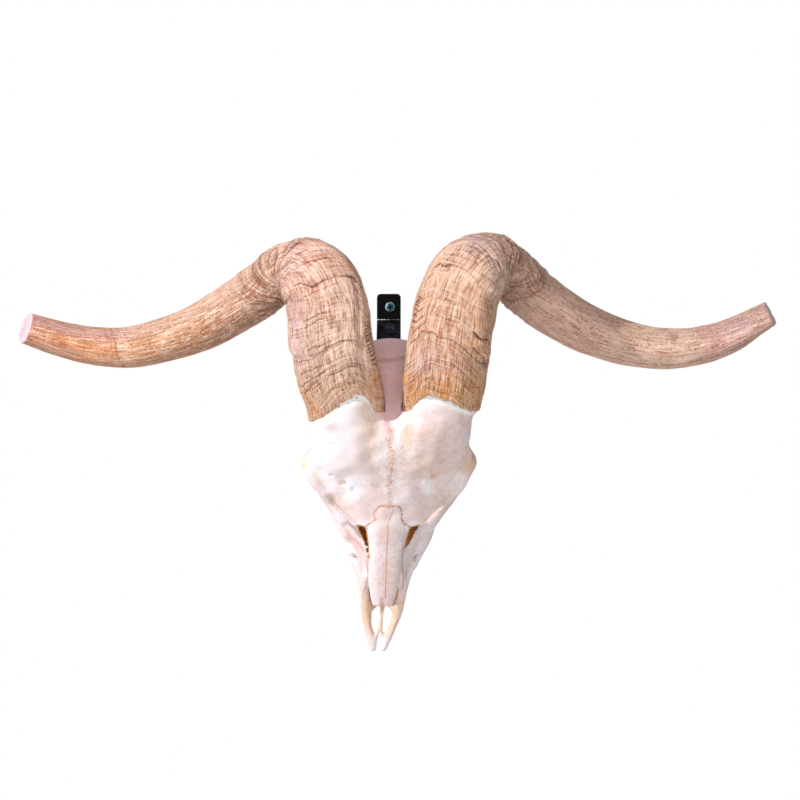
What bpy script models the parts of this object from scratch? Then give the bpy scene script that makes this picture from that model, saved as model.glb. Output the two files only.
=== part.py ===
"""Angora ram skull, hung nose down on a folded steel wall hanger.

World frame: +Z up, +X to the viewer's right, the viewer at -Y. The wall is the plane y = 0
and the origin is a point of the hanger's back face. Lengths below are in millimetres and
become metres when a mesh is made.

Skull frame: x to the right of the skull's middle, u up from the tips of the premaxillae
along the palate, h out of the alveolar plane towards the forehead.
"""
import math

import bmesh
import bpy
import numpy as np
from mathutils import Matrix, Vector

MM = 0.001
SIDES = (("left", -1.0), ("right", 1.0))
BOTH = (-1.0, 1.0)
MIDDLE = (1.0,)

# Place of the skull on the wall
TIP_Z = -260.6
ALVEOLAR_Y = -14.0
MIDLINE_U = (0.0, 40.0, 90.0, 117.0, 149.0, 186.0, 238.0)
MIDLINE_X = (-7.1, -5.3, -1.8, 0.2, 0.6, 2.4, 1.6)

# How finely the skull is worked
VOXEL = 1.7
SKULL_SHARE = 0.036
SOFT_FACTOR = 0.5
SOFT_TIMES = 4
FIT_GAP = 0.45

# Rings of the face: u, upper half width, upper h, lower half width, lower h
FACE_RINGS = (
    (52, 9.5, 38, 13.5, 6), (60, 11.5, 43, 18.0, 2.5), (74, 13, 49.5, 26.0, 1.5),
    (86, 15.5, 54.5, 34.0, 1.5), (96, 18, 59, 38.0, 3), (107, 24, 63.5, 38.5, 9),
    (118, 28, 69, 36, 16), (128, 30, 74, 30, 24),
)
FACE_SQUARE = 3.0

# Rings of the forehead plate: u, half width, h of the crown, thickness
BROW_RINGS = (
    (100, 24, 60.5, 10), (106, 35, 63.5, 12), (112, 41, 66.5, 13), (119, 45, 70.5, 14),
    (128, 52, 76.5, 15), (137, 56.5, 82.5, 16), (143, 60, 86, 17), (148, 63.5, 88.5, 18),
    (152, 61, 90.5, 18), (158, 56.5, 93, 18), (165, 52, 95.5, 18), (173, 50.5, 97, 18),
    (181, 51, 96.5, 19), (189, 51, 93.5, 20), (197, 47, 88.5, 22), (205, 38, 81, 22),
    (210, 26, 76, 20),
)
BROW_DROP = 16.0
BROW_HALF = 60.0
BROW_POWER = 2.5
BROW_RIM = 6.0

# Rods: how flat towards the forehead, then x, u, h and radius at each point
MIDDLE_RODS = {
    "ethmoid and brain floor": (1.0, (
        (0, 104, 40, 20), (0, 128, 46, 20), (0, 152, 52, 20), (0, 176, 56, 24))),
    "nuchal crest": (1.0, (
        (-36, 216, 34, 5.5), (-27, 226, 42, 5), (-14, 233, 48.5, 4), (0, 234.5, 50, 3.8),
        (14, 233, 48.5, 4), (27, 226, 42, 5), (36, 216, 34, 5.5))),
    "basicranium": (1.0, (
        (0, 230, 13, 8.5), (0, 206, 16, 9.5), (0, 180, 25, 9), (0, 150, 34, 9))),
}
PAIRED_RODS = {
    "nasal": (0.5, (
        (5.4, 41, 34, 4.4), (5.8, 60, 42.5, 6.4), (6.2, 80, 50.5, 7.2), (8.2, 100, 59, 9.4),
        (7.6, 118, 66, 9))),
    "premaxilla": (0.85, (
        (5, 2.8, 3, 2.7), (5.7, 8, 3.5, 3.5), (7.2, 13, 4, 3.4), (9.5, 20, 5, 3),
        (11.3, 30, 6, 3.4), (12.4, 40, 10, 3.8), (13.4, 50, 17, 4.2), (12.6, 62, 32, 4.8))),
    "palatine bar": (1.0, (
        (4.2, 11, 4, 2.2), (1.3, 17, 5, 1.8), (1, 40, 6, 2.1), (3, 60, 8, 5))),
    "palate edge": (1.0, ((13.5, 42, 10, 3.6), (15, 56, 10, 5), (18, 72, 10, 7))),
    "tooth ridge": (1.0, (
        (20.5, 72, 10, 8), (25.5, 96, 12, 11), (28, 128, 13, 10), (28.5, 158, 14, 9))),
    "pterygoid wall": (1.0, (
        (15, 116, 24, 12), (15, 140, 29, 9), (13.5, 158, 27, 6), (13, 178, 27, 5))),
    "cheek bone": (1.0, (
        (26, 98, 24, 10), (35.5, 110, 30, 7.6), (45.5, 122, 34, 6), (52.5, 134, 38, 5.8),
        (56, 147, 43, 5.6), (53, 160, 44, 5), (47, 172, 42, 4.8), (42, 186, 39, 6),
        (33, 200, 40, 8.5))),
    "orbit rim": (1.0, (
        (36, 106, 56, 5), (44, 118, 61, 4.8), (53.5, 132, 66, 4.6), (59, 143, 67, 4.2),
        (61.5, 149, 62, 3.8), (56.5, 156, 45, 4.8))),
    "lacrimal": (1.0, ((37, 107, 55, 6), (38, 110, 44, 6), (42, 117, 35, 6))),
    "ear tube": (1.0, ((24, 207, 32, 7), (34, 209, 35, 6), (40, 210, 37, 4.6))),
    "jugular process": (1.0, ((26, 221, 28, 6.5), (29, 216, 8, 4.4), (28, 210, -8, 2.6))),
    "hamulus": (1.0, ((13, 176, 26, 4.5), (13.5, 168, 12, 3.4), (13.5, 158, 6, 2.8))),
}

# Balls: x, u, h, radii across, up and outward, and the lean in degrees
MIDDLE_BALLS = {
    "braincase": (0, 203, 53.5, 33, 38, 27, -24),
    "occiput": (0, 222, 38, 34, 12, 20, 0),
    "occiput base": (0, 224, 22, 19, 8, 12, 0),
}
PAIRED_BALLS = {
    "condyle": (16.5, 226, 21, 8.5, 8.5, 11, 0),
    "bulla": (19, 206, 17, 8, 12, 10, 0),
    "horn boss": (29, 179, 79, 22, 21, 14, 0),
    "horn boss root": (26, 195, 68, 17, 17, 16, 0),
}

# Hollows, in the same terms as the forms above
NOSE_RINGS = (
    (36, 8.5, 33.0, 10, 11), (52, 8.5, 34.5, 11.5, 11), (62, 9, 39, 13.5, 11),
    (78, 10, 45, 18, 12), (94, 13, 52, 22, 14), (106, 15, 56, 21, 20), (114, 11, 55, 14, 28),
)
MIDDLE_HOLLOWS = {
    "palate vault": (0.6, ((0, 66, -4, 11), (0, 90, -5, 13.5), (0, 128, -5, 16), (0, 156, -3, 17))),
    "throat": (1.0, ((0, 108, 26, 9), (0, 140, 22, 9), (0, 168, 12, 8), (0, 182, 4, 8))),
    "foramen magnum": (1.0, (
        (0, 213, 54, 12), (0, 225, 38, 12.8), (0, 236, 22, 13.5), (0, 246, 5, 14.5))),
    "notch between the frontals": (0.7, (
        (0, 177, 98, 3.2), (0, 187, 95, 8), (0, 197, 89, 10), (0, 209, 80, 11))),
}
PAIRED_HOLLOWS = {
    "slit beside the nasal": (3.5, ((19.4, 99, 53, 3.1), (17.4, 90, 50, 2.7), (13.8, 78, 45, 1.5))),
    "infraorbital hole": (1.0, ((20, 72, 21, 2.6), (30, 74, 23, 2.8))),
    "supraorbital hole": (1.0, ((33, 132, 70, 2.2), (35, 133, 90, 2.4))),
    "ear hole": (1.0, ((32, 209, 35, 2.6), (48, 211, 38, 2.8))),
}
BRAIN_ROOM = (0, 201, 54.5, 25, 27, 18, -24)
EYE_SOCKET = (54, 134, 49.5, 33, 17.5, 13.5, 0)

# Horns: middle line, base to tip, in the world frame
LEFT_HORN = (
    (-29.5, -70.0, -107.0), (-31.0, -84.0, -88.0), (-32.4, -97.0, -66.5),
    (-37.5, -113.0, -45.0), (-41.5, -126.0, -21.5), (-43.8, -132.0, 1.0),
    (-49.5, -129.0, 18.0), (-60.5, -114.0, 28.0), (-77.5, -93.0, 26.5),
    (-98.5, -77.0, 13.0), (-120.0, -67.0, 0.0), (-141.5, -60.0, -11.5),
    (-169.5, -54.0, -21.0), (-197.5, -51.0, -26.5), (-226.0, -51.0, -25.0),
    (-250.0, -54.0, -19.5), (-273.5, -58.0, -12.0),
)
RIGHT_HORN = (
    (35.0, -70.0, -107.0), (37.0, -84.0, -88.0), (40.0, -97.0, -66.5),
    (42.5, -113.0, -45.0), (45.2, -126.0, -21.5), (49.6, -132.0, 2.0),
    (57.0, -129.0, 20.5), (70.0, -114.0, 32.0), (87.0, -93.0, 28.5),
    (107.0, -77.0, 12.5), (130.0, -67.0, -3.0), (152.5, -60.0, -14.5),
    (182.0, -54.0, -24.0), (213.0, -51.0, -27.5), (238.0, -51.0, -24.5),
    (261.5, -54.0, -16.5), (289.5, -58.0, -2.5),
)
HORNS = (LEFT_HORN, RIGHT_HORN)
# Half breadth and half depth of the section, then where its keel lies and how high it stands
HORN_BREADTH = (
    26.0, 27.0, 28.4, 29.8, 29.8, 29.4, 27.4, 22.5, 20.0, 19.6, 18.8, 18.0, 16.4, 15.4, 14.2,
    13.0, 11.6,
)
HORN_DEPTH = (
    20.0, 21.0, 22.0, 22.5, 22.5, 22.5, 22.0, 22.0, 21.0, 20.0, 19.0, 18.0, 16.5, 15.0, 13.5,
    12.0, 10.5,
)
HORN_KEEL_DEG = (38, 38, 38, 38, 40, 44, 50, 60, 72, 82, 88, 92, 95, 98, 100, 100, 100)
HORN_KEEL_RISE = (
    0.10, 0.10, 0.10, 0.09, 0.08, 0.08, 0.08, 0.08, 0.08, 0.08, 0.07, 0.06, 0.05, 0.04, 0.03,
    0.02, 0.02,
)
KEEL_WIDE = 0.42
HORN_SQUARE = 2.7
HORN_RINGS = 38
HORN_SIDES = 18
HORN_FINE = 400
# Rings lie a little closer together at the base
RING_BIAS = 0.92
# Lower edge of each sheath, as a share of the horn's length, at angles round it
EDGE_DEG = (0, 35, 50, 64, 76, 90, 110, 130, 150, 180, 225, 270, 315, 360)
LEFT_EDGE = (
    0.100, 0.118, 0.124, 0.160, 0.170, 0.162, 0.142, 0.120, 0.104, 0.088, 0.072, 0.064, 0.078,
    0.100,
)
RIGHT_EDGE = (
    0.098, 0.116, 0.126, 0.162, 0.174, 0.168, 0.154, 0.142, 0.134, 0.126, 0.092, 0.070, 0.076,
    0.098,
)
# Growth steps: place along the horn and height
LEDGES = ((0.215, 1.6), (0.34, 2.2), (0.47, 1.6), (0.565, 1.4), (0.615, 1.2), (0.745, 1.5))
LEDGE_LONG = 0.045
SHEATH_WALL = 3.6
CORE_GAP = 1.0
POCKET_TO = 0.25
POCKET_STEPS = (0.0, 0.3, 0.6, 0.85, 1.0)
POCKET_NARROW = 9.0
CORE_TO = 0.24
CORE_STEPS = (0.0, 0.25, 0.5, 0.75, 0.92, 1.0)
CORE_NARROW = 9.5
SPARE_SHARE = 0.003
TIP_BEVEL = 0.86
TIP_STEP = 0.07

# Cheek teeth, front to back: length along the row, width across it
TOOTH_SIZES = ((8.5, 8.0), (9.5, 10.0), (11.0, 12.0), (14.0, 14.0), (17.0, 15.0), (18.0, 14.0))
TOOTH_ROW_U = 74.0
TOOTH_ROW_X = (20.5, 28.5)
TOOTH_ROW_CURVE = 0.8
TOOTH_GAP = 0.5
TOOTH_SIDES = 8
TOOTH_SQUARE = 0.62
# Height of each ring of a tooth and how full the section is there
TOOTH_RINGS = ((7.0, 0.62), (1.0, 0.84), (-3.0, 1.0), (-8.3, 0.94), (-9.5, 0.72))
TOOTH_SLIM = 0.92

# Hanger: flat steel strap with a tab on the wall, an arm and a hook
STRAP_WIDTH = 18.6
STRAP_THICK = 3.0
TAB_TOP = 16.4
TAB_CORNER = 3.0
CORNER_STEPS = 4
FOLD_Z = -4.7
FOLD_RADIUS = 3.5
FOLD_STEPS = 4
ARM_SLOPE_DEG = 31.0
ARM_LONG = 70.5
HOOK_LONG = 7.5
HOOK_TURN_DEG = 28.0
HOOK_STEPS = 4

# Screw through the tab
SCREW_X = 0.9
SCREW_Z = 6.2
HOLE_RADIUS = 2.6
HOLE_SIDES = 24
HEAD_RADIUS = 3.8
HEAD_DOME = 2.4
HEAD_STEPS = 5
HEAD_LIFT = 0.3
SHANK_RADIUS = 2.1
SHANK_LONG = 26.0
POINT_LONG = 6.0
SCREW_STEPS = 12
RECESS_DEEP = 1.3
RECESS_LONG = 4.4
RECESS_WIDE = 0.95
RECESS_TURN = 0.35


def clear_scene():
    for obj in list(bpy.data.objects):
        bpy.data.objects.remove(obj, do_unlink=True)
    for mesh in list(bpy.data.meshes):
        bpy.data.meshes.remove(mesh)


def collection(name):
    made = bpy.data.collections.new(name)
    bpy.context.scene.collection.children.link(made)
    return made


def material(name, color, roughness, metallic=0.0):
    made = bpy.data.materials.new(name)
    made.use_nodes = True
    shader = made.node_tree.nodes["Principled BSDF"]
    shader.inputs["Base Color"].default_value = (*color, 1.0)
    shader.inputs["Roughness"].default_value = roughness
    shader.inputs["Metallic"].default_value = metallic
    return made


def midline(u):
    """How far the skull's middle lies to the viewer's right at height u."""
    return np.interp(u, MIDLINE_U, MIDLINE_X)


def place(x, u, h):
    """A point of the skull frame in the world frame, still in millimetres and unbent."""
    return Vector((x, ALVEOLAR_Y - h, TIP_Z + u))


def bend_to_midline(mesh):
    """Shifts a mesh of the skull sideways onto its slightly leaning middle line."""
    co = np.empty(len(mesh.vertices) * 3)
    mesh.vertices.foreach_get("co", co)
    co = co.reshape(-1, 3)
    co[:, 0] += midline(co[:, 2] / MM - TIP_Z) * MM
    mesh.vertices.foreach_set("co", co.ravel())
    mesh.update()


def mesh_from(bm, name):
    mesh = bpy.data.meshes.new(name)
    bm.to_mesh(mesh)
    bm.free()
    return mesh


def smooth_path(points, places):
    """Catmull-Rom curve through the points, read at places from 0 to 1."""
    p = np.array(points, dtype=float)
    ends = np.vstack([2 * p[0] - p[1], p, 2 * p[-1] - p[-2]])
    t = np.asarray(places) * (len(p) - 1.0)
    k = np.clip(np.floor(t).astype(int), 0, len(p) - 2)
    f = (t - k)[..., None]
    a, b, c, d = ends[k], ends[k + 1], ends[k + 2], ends[k + 3]
    bend = (2 * a - 5 * b + 4 * c - d) * f**2 + (3 * b - a - 3 * c + d) * f**3
    return 0.5 * (2 * b + (c - a) * f + bend)


def superellipse(angle, exponent):
    """Cosine and sine of the angle, each raised to the exponent with its sign kept."""
    c, s = np.cos(angle), np.sin(angle)
    return np.sign(c) * np.abs(c) ** exponent, np.sign(s) * np.abs(s) ** exponent


def ball(row, side):
    """Ellipsoid of the skull; a positive lean tips its top to the forehead."""
    x, u, h, across, up, out, lean = row
    bm = bmesh.new()
    turn = Matrix.Rotation(math.radians(lean), 4, "X")
    size = Matrix.Diagonal((across * MM, out * MM, up * MM, 1.0))
    spot = Matrix.Translation(place(side * x, u, h) * MM)
    bmesh.ops.create_uvsphere(bm, u_segments=28, v_segments=18, radius=1.0)
    bmesh.ops.transform(bm, matrix=spot @ turn @ size, verts=bm.verts)
    return mesh_from(bm, "ball")


def rod(row, side):
    """Round-ended tube through skull points; a flatness below 1 thins it towards the forehead."""
    flat, knots = row
    data = bpy.data.curves.new("rod", "CURVE")
    data.dimensions = "3D"
    data.bevel_depth = MM
    data.bevel_resolution = 3
    data.use_fill_caps = True
    count = 6 * (len(knots) - 1) + 1
    path = smooth_path(knots, np.linspace(0, 1, count))
    spline = data.splines.new("POLY")
    spline.points.add(count - 1)
    for knot, (x, u, h, radius) in zip(spline.points, path):
        knot.co = (*(place(side * x, u, h / flat) * MM), 1.0)
        knot.radius = radius
    holder = bpy.data.objects.new("rod", data)
    mesh = bpy.data.meshes.new_from_object(holder)
    bpy.data.objects.remove(holder)
    bpy.data.curves.remove(data)
    bm = bmesh.new()
    bm.from_mesh(mesh)
    bmesh.ops.remove_doubles(bm, verts=bm.verts, dist=1e-6)
    for x, u, h, radius in (path[0], path[-1]):
        spot = Matrix.Translation(place(side * x, u, h / flat) * MM)
        bmesh.ops.create_uvsphere(bm, u_segments=12, v_segments=8, radius=radius * MM, matrix=spot)
    base = Matrix.Translation((0, ALVEOLAR_Y * MM, 0))
    squeeze = base @ Matrix.Diagonal((1, flat, 1, 1)) @ base.inverted()
    bmesh.ops.transform(bm, matrix=squeeze, verts=bm.verts)
    bm.to_mesh(mesh)
    bm.free()
    return mesh


def forms(maker, table, sides):
    """Meshes of every row of a table, once for each side."""
    return [maker(row, side) for row in table.values() for side in sides]


def loft(rings):
    """Closed skin over rings of equal point counts, each an array of world points in mm."""
    bm = bmesh.new()
    rows = [[bm.verts.new(Vector(p) * MM) for p in ring] for ring in rings]
    count = len(rows[0])
    for low, high in zip(rows, rows[1:]):
        for i in range(count):
            j = (i + 1) % count
            bm.faces.new((low[i], low[j], high[j], high[i]))
    bm.faces.new(list(reversed(rows[0])))
    bm.faces.new(rows[-1])
    bmesh.ops.recalc_face_normals(bm, faces=bm.faces)
    return mesh_from(bm, "loft")


def slab_ring(u, top_half, top_h, low_half, low_h):
    """Rounded trapezoid across the skull at u, top_half wide at top_h and low_half at low_h."""
    angle = np.linspace(0, 2 * math.pi, 32, endpoint=False)
    side, rise = superellipse(angle, 2 / FACE_SQUARE)
    half = low_half + (top_half - low_half) * (rise + 1) / 2
    h = (top_h + low_h) / 2 + (top_h - low_h) / 2 * rise
    return [place(x, u, y) for x, y in zip(side * half, h)]


def brow_ring(u, half, crown_h, thick):
    """Ring of the forehead plate at u: domed across, thick in the middle and thin at its rims."""
    angle = np.linspace(0, 2 * math.pi, 36, endpoint=False)
    x = half * superellipse(angle, 0.8)[0]
    top = crown_h - BROW_DROP * np.abs(x / BROW_HALF) ** BROW_POWER
    skin = BROW_RIM + (thick - BROW_RIM) * (1 - np.clip(np.abs(x / half), 0, 1) ** 2)
    h = top - skin / 2 + skin / 2 * superellipse(angle, 0.7)[1]
    return [place(a, u, b) for a, b in zip(x, h)]


def joined(meshes, name):
    bm = bmesh.new()
    for mesh in meshes:
        bm.from_mesh(mesh)
        bpy.data.meshes.remove(mesh)
    return mesh_from(bm, name)


def bone_forms():
    """Every solid form of the skull: face, forehead, braincase, rims and processes."""
    made = [loft([slab_ring(*row) for row in FACE_RINGS])]
    made.append(loft([brow_ring(*row) for row in BROW_RINGS]))
    made += forms(rod, MIDDLE_RODS, MIDDLE)
    made += forms(rod, PAIRED_RODS, BOTH)
    made += forms(ball, MIDDLE_BALLS, MIDDLE)
    made += forms(ball, PAIRED_BALLS, BOTH)
    return joined(made, "bone")


def bone_hollows():
    """Every hollow of the skull: nose, brain, eye and throat rooms, slits and foramina."""
    made = [loft([slab_ring(*row) for row in NOSE_RINGS])]
    made += forms(rod, MIDDLE_HOLLOWS, MIDDLE)
    made += forms(rod, PAIRED_HOLLOWS, BOTH)
    made.append(ball(BRAIN_ROOM, 1.0))
    made += [ball(EYE_SOCKET, side) for side in BOTH]
    return joined(made, "hollows")


def horn_frame(path):
    """Unit vectors along the horn, towards the viewer and across it, one row a path point."""
    along = np.gradient(path, axis=0)
    along /= np.linalg.norm(along, axis=1, keepdims=True)
    view = np.array([0.0, -1.0, 0.0])
    front = view - (along @ view)[:, None] * along
    front /= np.linalg.norm(front, axis=1, keepdims=True)
    return along, front, np.cross(along, front)


def horn_points(middle, side, places, angles, grow):
    """World points of the horn's skin at places 0 to 1 along it and at angles round it.

    The section is a rounded oblong, broad across the view, with a keel that starts on the inner
    front edge and winds to the front. Angle 0 is the inner side and 90 degrees the front.
    """
    path = smooth_path(middle, np.linspace(0, 1, HORN_FINE))
    _, front, across = horn_frame(path)
    places = np.clip(places, 0, 1)
    at = places * (HORN_FINE - 1)

    def read(table):
        return np.stack([np.interp(at, range(HORN_FINE), column) for column in table.T], axis=-1)

    def size(values):
        return smooth_path([(v,) for v in values], places)[..., 0]

    off = np.angle(np.exp(1j * (angles - np.radians(size(HORN_KEEL_DEG)))))
    bump = 1 + size(HORN_KEEL_RISE) * np.exp(-((off / KEEL_WIDE) ** 2))
    step = np.zeros_like(places)
    for where, rise in LEDGES:
        run = (places - where) / LEDGE_LONG
        step += rise * np.where((run > -1) & (run <= 0), (run + 1) ** 2, 0)
    broad, deep = superellipse(angles, 2 / HORN_SQUARE)
    broad = broad * (size(HORN_BREADTH) + grow + step) * bump
    deep = deep * (size(HORN_DEPTH) + grow + step) * bump
    return read(path) + read(across) * (-side * broad[..., None]) + read(front) * deep[..., None]


def base_edge(side, angles):
    """Where the sheath's lower edge lies along the horn at each angle round it."""
    edge = LEFT_EDGE if side < 0 else RIGHT_EDGE
    return np.interp(np.degrees(angles) % 360, EDGE_DEG, edge)


def sheath_mesh(middle, side, spare=0.0):
    """Horn sheath as one closed skin: round the outside, in at the base and up into the pocket."""
    angles = np.linspace(0, 2 * math.pi, HORN_SIDES, endpoint=False)
    low = base_edge(side, angles) - spare * SPARE_SHARE
    rings = []
    for share in np.linspace(1, 0, HORN_RINGS) ** RING_BIAS:
        rings.append(horn_points(middle, side, low + (1 - low) * share, angles, spare))
    tip = rings[0]
    centre = tip.mean(axis=0)
    cap = centre + (tip - centre) * TIP_BEVEL + (centre - rings[3].mean(axis=0)) * TIP_STEP
    rings.insert(0, cap)
    for share in POCKET_STEPS:
        shrink = -(SHEATH_WALL + spare) - POCKET_NARROW * share**3
        rings.append(horn_points(middle, side, low + (POCKET_TO - low) * share, angles, shrink))
    return loft(rings)


def core_mesh(middle, side):
    """Bony horn core from inside the forehead up into the sheath's pocket."""
    angles = np.linspace(0, 2 * math.pi, HORN_SIDES, endpoint=False)
    rings = []
    for share in CORE_STEPS:
        shrink = -(SHEATH_WALL + CORE_GAP) - CORE_NARROW * share**3
        places = np.full_like(angles, CORE_TO * share)
        rings.append(horn_points(middle, side, places, angles, shrink))
    return loft(rings)


def tooth_mesh(side, number, spare=0.0):
    """Cheek tooth: a squared crown over a tapering root, leaning along its row."""
    long, wide = TOOTH_SIZES[number]
    row_long = sum(size[0] + TOOTH_GAP for size in TOOTH_SIZES) - TOOTH_GAP
    middle = sum(size[0] + TOOTH_GAP for size in TOOTH_SIZES[:number]) + long / 2
    inner, outer = TOOTH_ROW_X
    x0 = inner + (outer - inner) * (middle / row_long) ** TOOTH_ROW_CURVE
    u0 = TOOTH_ROW_U + middle
    turn = math.pi / TOOTH_SIDES
    angle = np.linspace(0, 2 * math.pi, TOOTH_SIDES, endpoint=False) + turn
    across, up = superellipse(angle, TOOTH_SQUARE)
    rings = []
    for h, full in TOOTH_RINGS:
        x = x0 + (wide / 2 * full * TOOTH_SLIM + spare) * across
        u = u0 + (long / 2 * (0.8 + 0.2 * full) + spare) * up
        end = spare if (h, full) == TOOTH_RINGS[0] else 0.0
        rings.append([place(side * a, b, h + end) for a, b in zip(x, u)])
    return loft(rings)


def add(name, mesh, group, finish):
    obj = bpy.data.objects.new(name, mesh)
    group.objects.link(obj)
    mesh.materials.clear()
    mesh.materials.append(finish)
    return obj


def add_cutter(name, mesh, group):
    obj = bpy.data.objects.new(name, mesh)
    group.objects.link(obj)
    obj.hide_render = True
    obj.display_type = "WIRE"
    return obj


def modifier(obj, name, kind, **values):
    made = obj.modifiers.new(name, kind)
    for key, value in values.items():
        setattr(made, key, value)


def one_skin(obj, name):
    modifier(obj, name, "REMESH", mode="VOXEL", voxel_size=VOXEL * MM)


def cut_away(obj, name, cutter):
    modifier(obj, name, "BOOLEAN", operation="DIFFERENCE", solver="EXACT", object=cutter,
             use_self=True)


def skull(parts, cutters, finish):
    bone = bone_forms()
    bend_to_midline(bone)
    cores = [core_mesh(middle, side) for side, middle in zip(BOTH, HORNS)]
    obj = add("skull", joined([bone, *cores], "skull"), parts, finish)
    hollow_mesh = bone_hollows()
    bend_to_midline(hollow_mesh)
    hollows = add_cutter("skull_hollows", hollow_mesh, cutters)
    one_skin(hollows, "one skin")
    numbers = range(len(TOOTH_SIZES))
    roots = joined([tooth_mesh(side, k, FIT_GAP) for side in BOTH for k in numbers], "roots")
    bend_to_midline(roots)
    fits = [sheath_mesh(middle, side, FIT_GAP) for side, middle in zip(BOTH, HORNS)]
    seats = add_cutter("skull_seats", joined([roots, *fits], "skull_seats"), cutters)
    one_skin(obj, "one skin")
    cut_away(obj, "hollows", hollows)
    one_skin(obj, "even skin")
    modifier(obj, "soft edges", "SMOOTH", factor=SOFT_FACTOR, iterations=SOFT_TIMES)
    modifier(obj, "facets", "DECIMATE", ratio=SKULL_SHARE)
    cut_away(obj, "seats", seats)


def horns(parts, finish):
    for (name, side), middle in zip(SIDES, HORNS):
        add(f"horn_sheath_{name}", sheath_mesh(middle, side), parts, finish)


def teeth(parts, finish):
    for name, side in SIDES:
        for number in range(len(TOOTH_SIZES)):
            mesh = tooth_mesh(side, number)
            bend_to_midline(mesh)
            add(f"tooth_{name}_{number + 1}", mesh, parts, finish)


def strap_line():
    """Middle line of the strap as (half width, y, z): down the tab, round the fold, arm, hook."""
    half = STRAP_WIDTH / 2
    back = -STRAP_THICK / 2
    line = []
    for k in range(CORNER_STEPS + 1):
        a = math.pi / 2 * k / CORNER_STEPS
        narrow = TAB_CORNER * (1 - math.sin(a))
        line.append((half - narrow, back, TAB_TOP - TAB_CORNER * (1 - math.cos(a))))
    slope = math.radians(ARM_SLOPE_DEG)
    turn = math.pi / 2 - slope
    centre_y = back - FOLD_RADIUS
    centre_z = FOLD_Z + FOLD_RADIUS * math.tan(turn / 2)
    for k in range(FOLD_STEPS + 1):
        a = -turn * k / FOLD_STEPS
        y = centre_y + FOLD_RADIUS * math.cos(a)
        line.append((half, y, centre_z + FOLD_RADIUS * math.sin(a)))
    _, y, z = line[-1]
    y -= ARM_LONG * math.cos(slope)
    z -= ARM_LONG * math.sin(slope)
    line.append((half, y, z))
    hook_turn = 2 * slope + math.radians(HOOK_TURN_DEG)
    for k in range(1, HOOK_STEPS + 1):
        a = -slope + hook_turn * k / HOOK_STEPS
        y -= HOOK_LONG / HOOK_STEPS * math.cos(a)
        z += HOOK_LONG / HOOK_STEPS * math.sin(a)
        line.append((half, y, z))
    return line


def hanger(parts, cutters, finish):
    bm = bmesh.new()
    line = strap_line()
    left = [bm.verts.new((-half * MM, y * MM, z * MM)) for half, y, z in line]
    right = [bm.verts.new((half * MM, y * MM, z * MM)) for half, y, z in line]
    for k in range(len(line) - 1):
        bm.faces.new((left[k], right[k], right[k + 1], left[k + 1]))
    obj = add("wall_hanger", mesh_from(bm, "wall_hanger"), parts, finish)
    modifier(obj, "sheet steel", "SOLIDIFY", thickness=STRAP_THICK * MM, offset=0.0,
             use_even_offset=True)
    bm = bmesh.new()
    spot = Matrix.Translation(Vector((SCREW_X, -STRAP_THICK / 2, SCREW_Z)) * MM)
    bmesh.ops.create_cone(bm, cap_ends=True, segments=HOLE_SIDES, radius1=HOLE_RADIUS * MM,
                          radius2=HOLE_RADIUS * MM, depth=STRAP_THICK * 2 * MM,
                          matrix=spot @ Matrix.Rotation(math.pi / 2, 4, "X"))
    cut_away(obj, "screw hole", add_cutter("screw_hole", mesh_from(bm, "screw_hole"), cutters))


def screw(parts, cutters, finish):
    """Round-headed wood screw turned from a profile, with a cross recess."""
    face = STRAP_THICK + HEAD_LIFT
    profile = [(0.0, -face - HEAD_DOME)]
    for k in range(1, HEAD_STEPS + 1):
        a = math.pi / 2 * k / HEAD_STEPS
        profile.append((HEAD_RADIUS * math.sin(a), -face - HEAD_DOME * math.cos(a)))
    profile.append((SHANK_RADIUS, -face))
    profile.append((SHANK_RADIUS, SHANK_LONG - POINT_LONG))
    profile.append((0.0, SHANK_LONG))
    bm = bmesh.new()
    dots = [bm.verts.new((r * MM, 0, -y * MM)) for r, y in profile]
    for a, b in zip(dots, dots[1:]):
        bm.edges.new((a, b))
    obj = add("hanger_screw", mesh_from(bm, "hanger_screw"), parts, finish)
    obj.location = Vector((SCREW_X, 0, SCREW_Z)) * MM
    obj.rotation_euler = (math.pi / 2, 0, 0)
    modifier(obj, "turned", "SCREW", steps=SCREW_STEPS, render_steps=SCREW_STEPS,
             use_merge_vertices=True, merge_threshold=1e-5)
    bm = bmesh.new()
    top = Matrix.Translation(Vector((SCREW_X, -face - HEAD_DOME, SCREW_Z)) * MM)
    size = Matrix.Diagonal((RECESS_LONG * MM, RECESS_DEEP * 2 * MM, RECESS_WIDE * MM, 1))
    for turn in (RECESS_TURN, RECESS_TURN + math.pi / 2):
        shape = top @ Matrix.Rotation(turn, 4, "Y") @ size
        bmesh.ops.create_cube(bm, size=1.0, matrix=shape)
    cut_away(obj, "cross recess", add_cutter("screw_cross", mesh_from(bm, "screw_cross"), cutters))


def main():
    clear_scene()
    parts = collection("angora_ram_skull")
    cutters = collection("cutters")
    skull(parts, cutters, material("bone", (0.86, 0.80, 0.75), 0.62))
    horns(parts, material("horn", (0.55, 0.33, 0.20), 0.55))
    teeth(parts, material("tooth enamel", (0.80, 0.72, 0.58), 0.35))
    hanger(parts, cutters, material("black steel", (0.012, 0.011, 0.014), 0.38, 0.6))
    screw(parts, cutters, material("zinc plate", (0.42, 0.55, 0.55), 0.30, 1.0))


main()
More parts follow.
